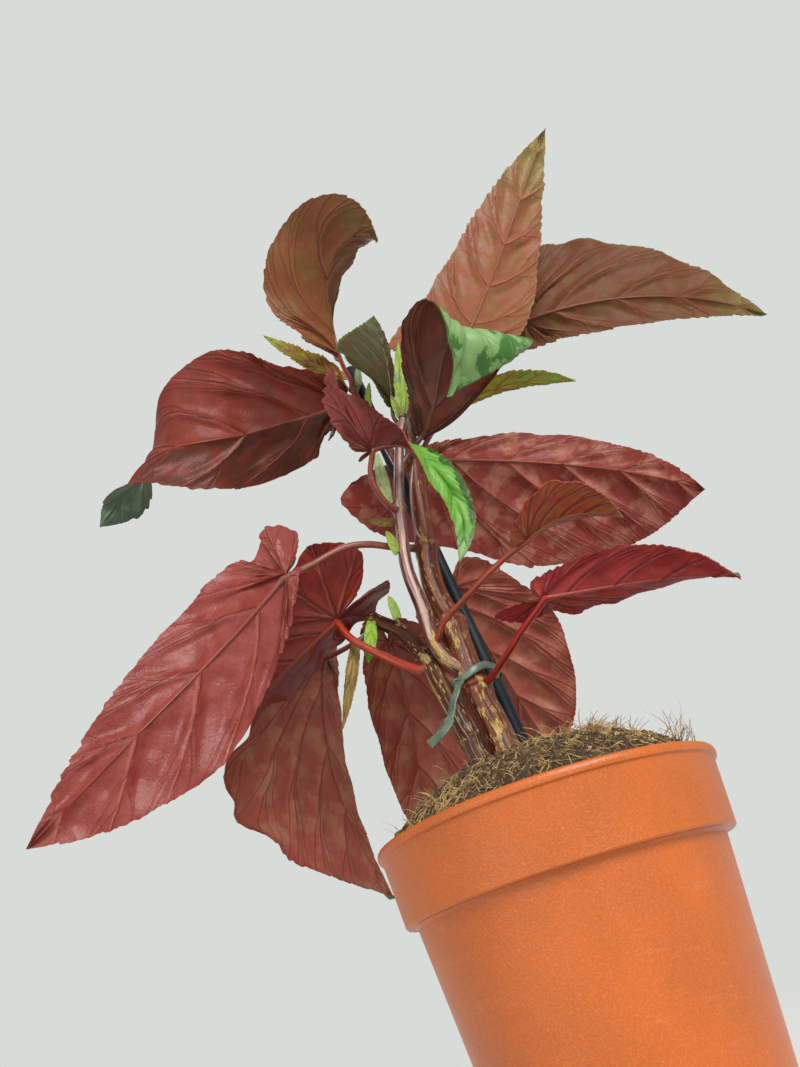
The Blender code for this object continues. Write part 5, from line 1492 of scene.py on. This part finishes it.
def tie_loop(level, thick):
    """The tie's way round the main cane and the stake: an arc round each, and straight between them."""
    main = STEMS["cane_main"]
    cane, stick = on_route(main.route, level), on_route(STAKE_ROUTE, level)
    lift = TIE_SLACK + thick
    cane_radius = stem_radii(main, main.nodes[0]) + lift
    stick_radius = settings("canes").stake_radius / MM + lift
    across = stick - cane
    heading = math.atan2(across[1], across[0])
    lean = math.acos((cane_radius - stick_radius) / np.linalg.norm(across))
    loop = []
    for centre, radius, first, last, many in (
            (cane, cane_radius, heading + lean, heading + 2 * math.pi - lean, 36),
            (stick, stick_radius, heading - lean, heading + lean, 20)):
        for t in np.linspace(first, last, many):
            x, y = centre + radius * np.array([math.cos(t), math.sin(t)])
            loop.append((x, y, level + TIE_TILT * (x - TIE_TAIL[0][0])))
    return np.array(loop)


class BEGONIA_OT_add_tie(bpy.types.Operator):
    """Add the tie: a strip drawn round the main cane and the stake, knotted, with its tail hanging"""
    bl_idname = "begonia.add_tie"
    bl_label = "Add tie"

    def execute(self, context):
        tie = settings("tie")
        thick, wide = tie.thickness / MM, tie.width / MM
        shape = Shape()
        add_strip(shape, tie_loop(tie.level / MM, thick), LOOP_SIDE, wide, thick, closed=True)
        tail = even_route(TIE_TAIL, 0.5)
        widths = wide * (1 + (TIE_END_WIDER - 1) * (reach(tail) > TIE_END_FROM))
        add_strip(shape, tail, TAIL_SIDE, widths, thick, closed=False)
        knot = np.array(TIE_TAIL[0], float)
        turns = np.linspace(0, 2 * math.pi, 28, endpoint=False)
        for tilt, size in KNOT_RINGS:
            ring = [knot + size * np.array([math.cos(t), 0.7 * math.sin(t) * math.cos(tilt) + 0.3,
                                            math.sin(t) * 0.9 + 0.5 * math.cos(t) * math.sin(tilt)])
                    for t in turns]
            add_strip(shape, np.array(ring), KNOT_SIDE, wide * 0.55, thick * 1.1, closed=True)
        band = shape.piece("tie_strip", [tie_material(tuple(tie.tint))], 60)
        place_piece(band, ["tie"])
        return {"FINISHED"}


def add_leaf(name, leaf, order):
    """One leaf in four finishes: the blade's under side and upper side, the stalk and the midrib."""
    look = LOOKS[leaf.look]
    rib = Midrib(leaf)
    shape = Shape()
    add_blade(shape, leaf, rib, 0, 1, 1.7 * order)
    add_stalk(shape, leaf, rib, 2, 3)
    # The midrib's colour: vein and blade colours with a little of the painted sheen colour
    rib_colour = tuple(0.28 * a + 0.62 * b + 0.10 * c
                       for a, b, c in zip(look.vein, look.under, PAINTED_SHEEN_PINK))
    finishes = [leaf_material(name + "_under", leaf, look, upper=False),
                leaf_material(name + "_upper", leaf, look, upper=True),
                stalk_material(name + "_stalk", look.stalk), stalk_material(name + "_rib", rib_colour, 0.0)]
    place_piece(shape.piece(name + "_blade", finishes), [name])


class BEGONIA_OT_add_leaves(bpy.types.Operator):
    """Add the leaves, each with its toothed blade, raised veins and stalk"""
    bl_idname = "begonia.add_leaves"
    bl_label = "Add leaves"

    def execute(self, context):
        for order, (name, leaf) in enumerate(LEAVES.items()):
            add_leaf(name, leaf, order)
        return {"FINISHED"}


class BEGONIA_OT_add_bracts(bpy.types.Operator):
    """Add the bracts and stipules"""
    bl_idname = "begonia.add_bracts"
    bl_label = "Add bracts"

    def execute(self, context):
        for order, (name, leaf) in enumerate(BRACTS.items()):
            add_leaf(name, leaf, order)
        return {"FINISHED"}


class BEGONIA_OT_add_growing_tip(bpy.types.Operator):
    """Add the unopened leaves at the top of the young cane"""
    bl_idname = "begonia.add_growing_tip"
    bl_label = "Add growing tip"

    def execute(self, context):
        shape = Shape()
        core = even_route(TIP_CORE.route, 1.0)
        add_tube(shape, core, np.linspace(*TIP_CORE.radius, len(core)), 14, 2)
        for order, blade in enumerate(TIP_BLADES):
            add_blade(shape, blade, Midrib(blade), 0, 1, order)
        look = LOOKS["stipule"]
        finishes = [leaf_material("growing_tip_under", TIP_BLADES[0], look, upper=False),
                    leaf_material("growing_tip_upper", TIP_BLADES[0], look, upper=True),
                    stalk_material("growing_tip_core", look.stalk)]
        place_piece(shape.piece("growing_tip_blades", finishes), ["growing_tip"])
        return {"FINISHED"}


# Each light's name, place, size and which setting gives its power
LIGHTS = (("key_light", (0.72, -1.24, 0.96), 0.9, "key_power"),
          ("front_fill", (-0.9, -1.3, 0.1), 1.6, "fill_power"),
          ("back_light", (-0.5, 1.4, 1.5), 1.5, "fill_power"))
# The place they all shine at, the colour of the light from all round, and how low the floor lies
LIT_PLACE = (0, 0, 0.27)
WARM_WHITE = (1.0, 0.965, 0.92)
FLOOR_LEVEL = -0.0003


def add_area_light(name, place, size, power):
    bpy.ops.object.light_add(type="AREA", location=place)
    lamp = bpy.context.object
    lamp.name = name
    lamp.data.size, lamp.data.energy = size, power
    lamp.rotation_euler = (Vector(LIT_PLACE) - Vector(place)).to_track_quat("-Z", "Y").to_euler()


def add_world(stage):
    """Surroundings that light the plant a little warmly and show the camera the backdrop's colour."""
    world = bpy.data.worlds.new("pale_surroundings")
    world.use_nodes = True
    p, light = Pattern(world.node_tree), world.node_tree.nodes["Background"]
    seen = p.value(0, "Background", {"Color": tuple(stage.backdrop)})
    p.feed(light.inputs["Color"], WARM_WHITE)
    p.feed(light.inputs["Strength"], stage.world)
    camera_ray = p.value("Is Camera Ray", "LightPath")
    either = p.value(0, "MixShader", {0: camera_ray, 1: Value(p, light.outputs[0]), 2: seen})
    p.feed(world.node_tree.nodes["World Output"].inputs["Surface"], either)
    bpy.context.scene.world = world


def add_camera(scene):
    """The camera that the photograph was taken with, from where it stood."""
    view = bpy.data.cameras.new("photo_camera")
    view.lens = FOCAL_PIXELS / PHOTO_HEIGHT_PIXELS * SENSOR
    view.sensor_width = SENSOR
    view.clip_start = 0.01
    camera = bpy.data.objects.new("photo_camera", view)
    scene.collection.objects.link(camera)
    turn = Matrix((CAMERA_RIGHT, CAMERA_UP, [-c for c in CAMERA_AHEAD])).transposed()
    camera.matrix_world = Matrix.Translation(CAMERA_PLACE) @ turn.to_4x4()
    scene.camera = camera


class BEGONIA_OT_add_stage(bpy.types.Operator):
    """Add the floor, the soft studio lights and the camera"""
    bl_idname = "begonia.add_stage"
    bl_label = "Add stage"

    def execute(self, context):
        stage = settings("stage")
        deselect_all()
        bpy.ops.mesh.primitive_plane_add(size=stage.floor_size, location=(0, 0, FLOOR_LEVEL))
        floor = context.object
        floor.name = "floor"
        bpy.ops.object.transform_apply(location=True, rotation=True, scale=True)
        floor.data.materials.append(floor_material(tuple(stage.floor), tuple(stage.backdrop)))
        for name, place, size, power in LIGHTS:
            add_area_light(name, place, size, getattr(stage, power))
        add_world(stage)
        context.scene.view_settings.view_transform = "Standard"
        add_camera(context.scene)
        return {"FINISHED"}


class BEGONIA_PT_panel(bpy.types.Panel):
    """The pieces of the plant, with the sizes and colours that can be changed"""
    bl_idname = "BEGONIA_PT_panel"
    bl_label = "Potted begonia"
    bl_space_type = "VIEW_3D"
    bl_region_type = "UI"
    bl_category = "Begonia"

    def draw(self, context):
        for operator in OPERATORS:
            self.layout.operator(operator.bl_idname)
        for name, group in SETTINGS.items():
            box = self.layout.box()
            box.label(text=name.capitalize())
            for key in group.__annotations__:
                box.prop(settings(name), key)


OPERATORS = (BEGONIA_OT_add_pot, BEGONIA_OT_add_soil, BEGONIA_OT_add_canes, BEGONIA_OT_add_stake,
             BEGONIA_OT_add_tie, BEGONIA_OT_add_leaves, BEGONIA_OT_add_bracts, BEGONIA_OT_add_growing_tip,
             BEGONIA_OT_add_stage)


def register():
    for group in (*SETTINGS.values(), *OPERATORS, BEGONIA_PT_panel):
        bpy.utils.register_class(group)
    for name, group in SETTINGS.items():
        setattr(bpy.types.Scene, "begonia_" + name, PointerProperty(type=group))


def unregister():
    for name in SETTINGS:
        delattr(bpy.types.Scene, "begonia_" + name)
    for group in reversed((*SETTINGS.values(), *OPERATORS, BEGONIA_PT_panel)):
        bpy.utils.unregister_class(group)


def main():
    register()
    deselect_all()
    bpy.ops.begonia.add_pot()
    bpy.ops.begonia.add_soil()
    bpy.ops.begonia.add_canes()
    bpy.ops.begonia.add_stake()
    bpy.ops.begonia.add_tie()
    bpy.ops.begonia.add_leaves()
    bpy.ops.begonia.add_bracts()
    bpy.ops.begonia.add_growing_tip()
    bpy.ops.begonia.add_stage()
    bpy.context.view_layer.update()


if __name__ == "__main__":
    main()
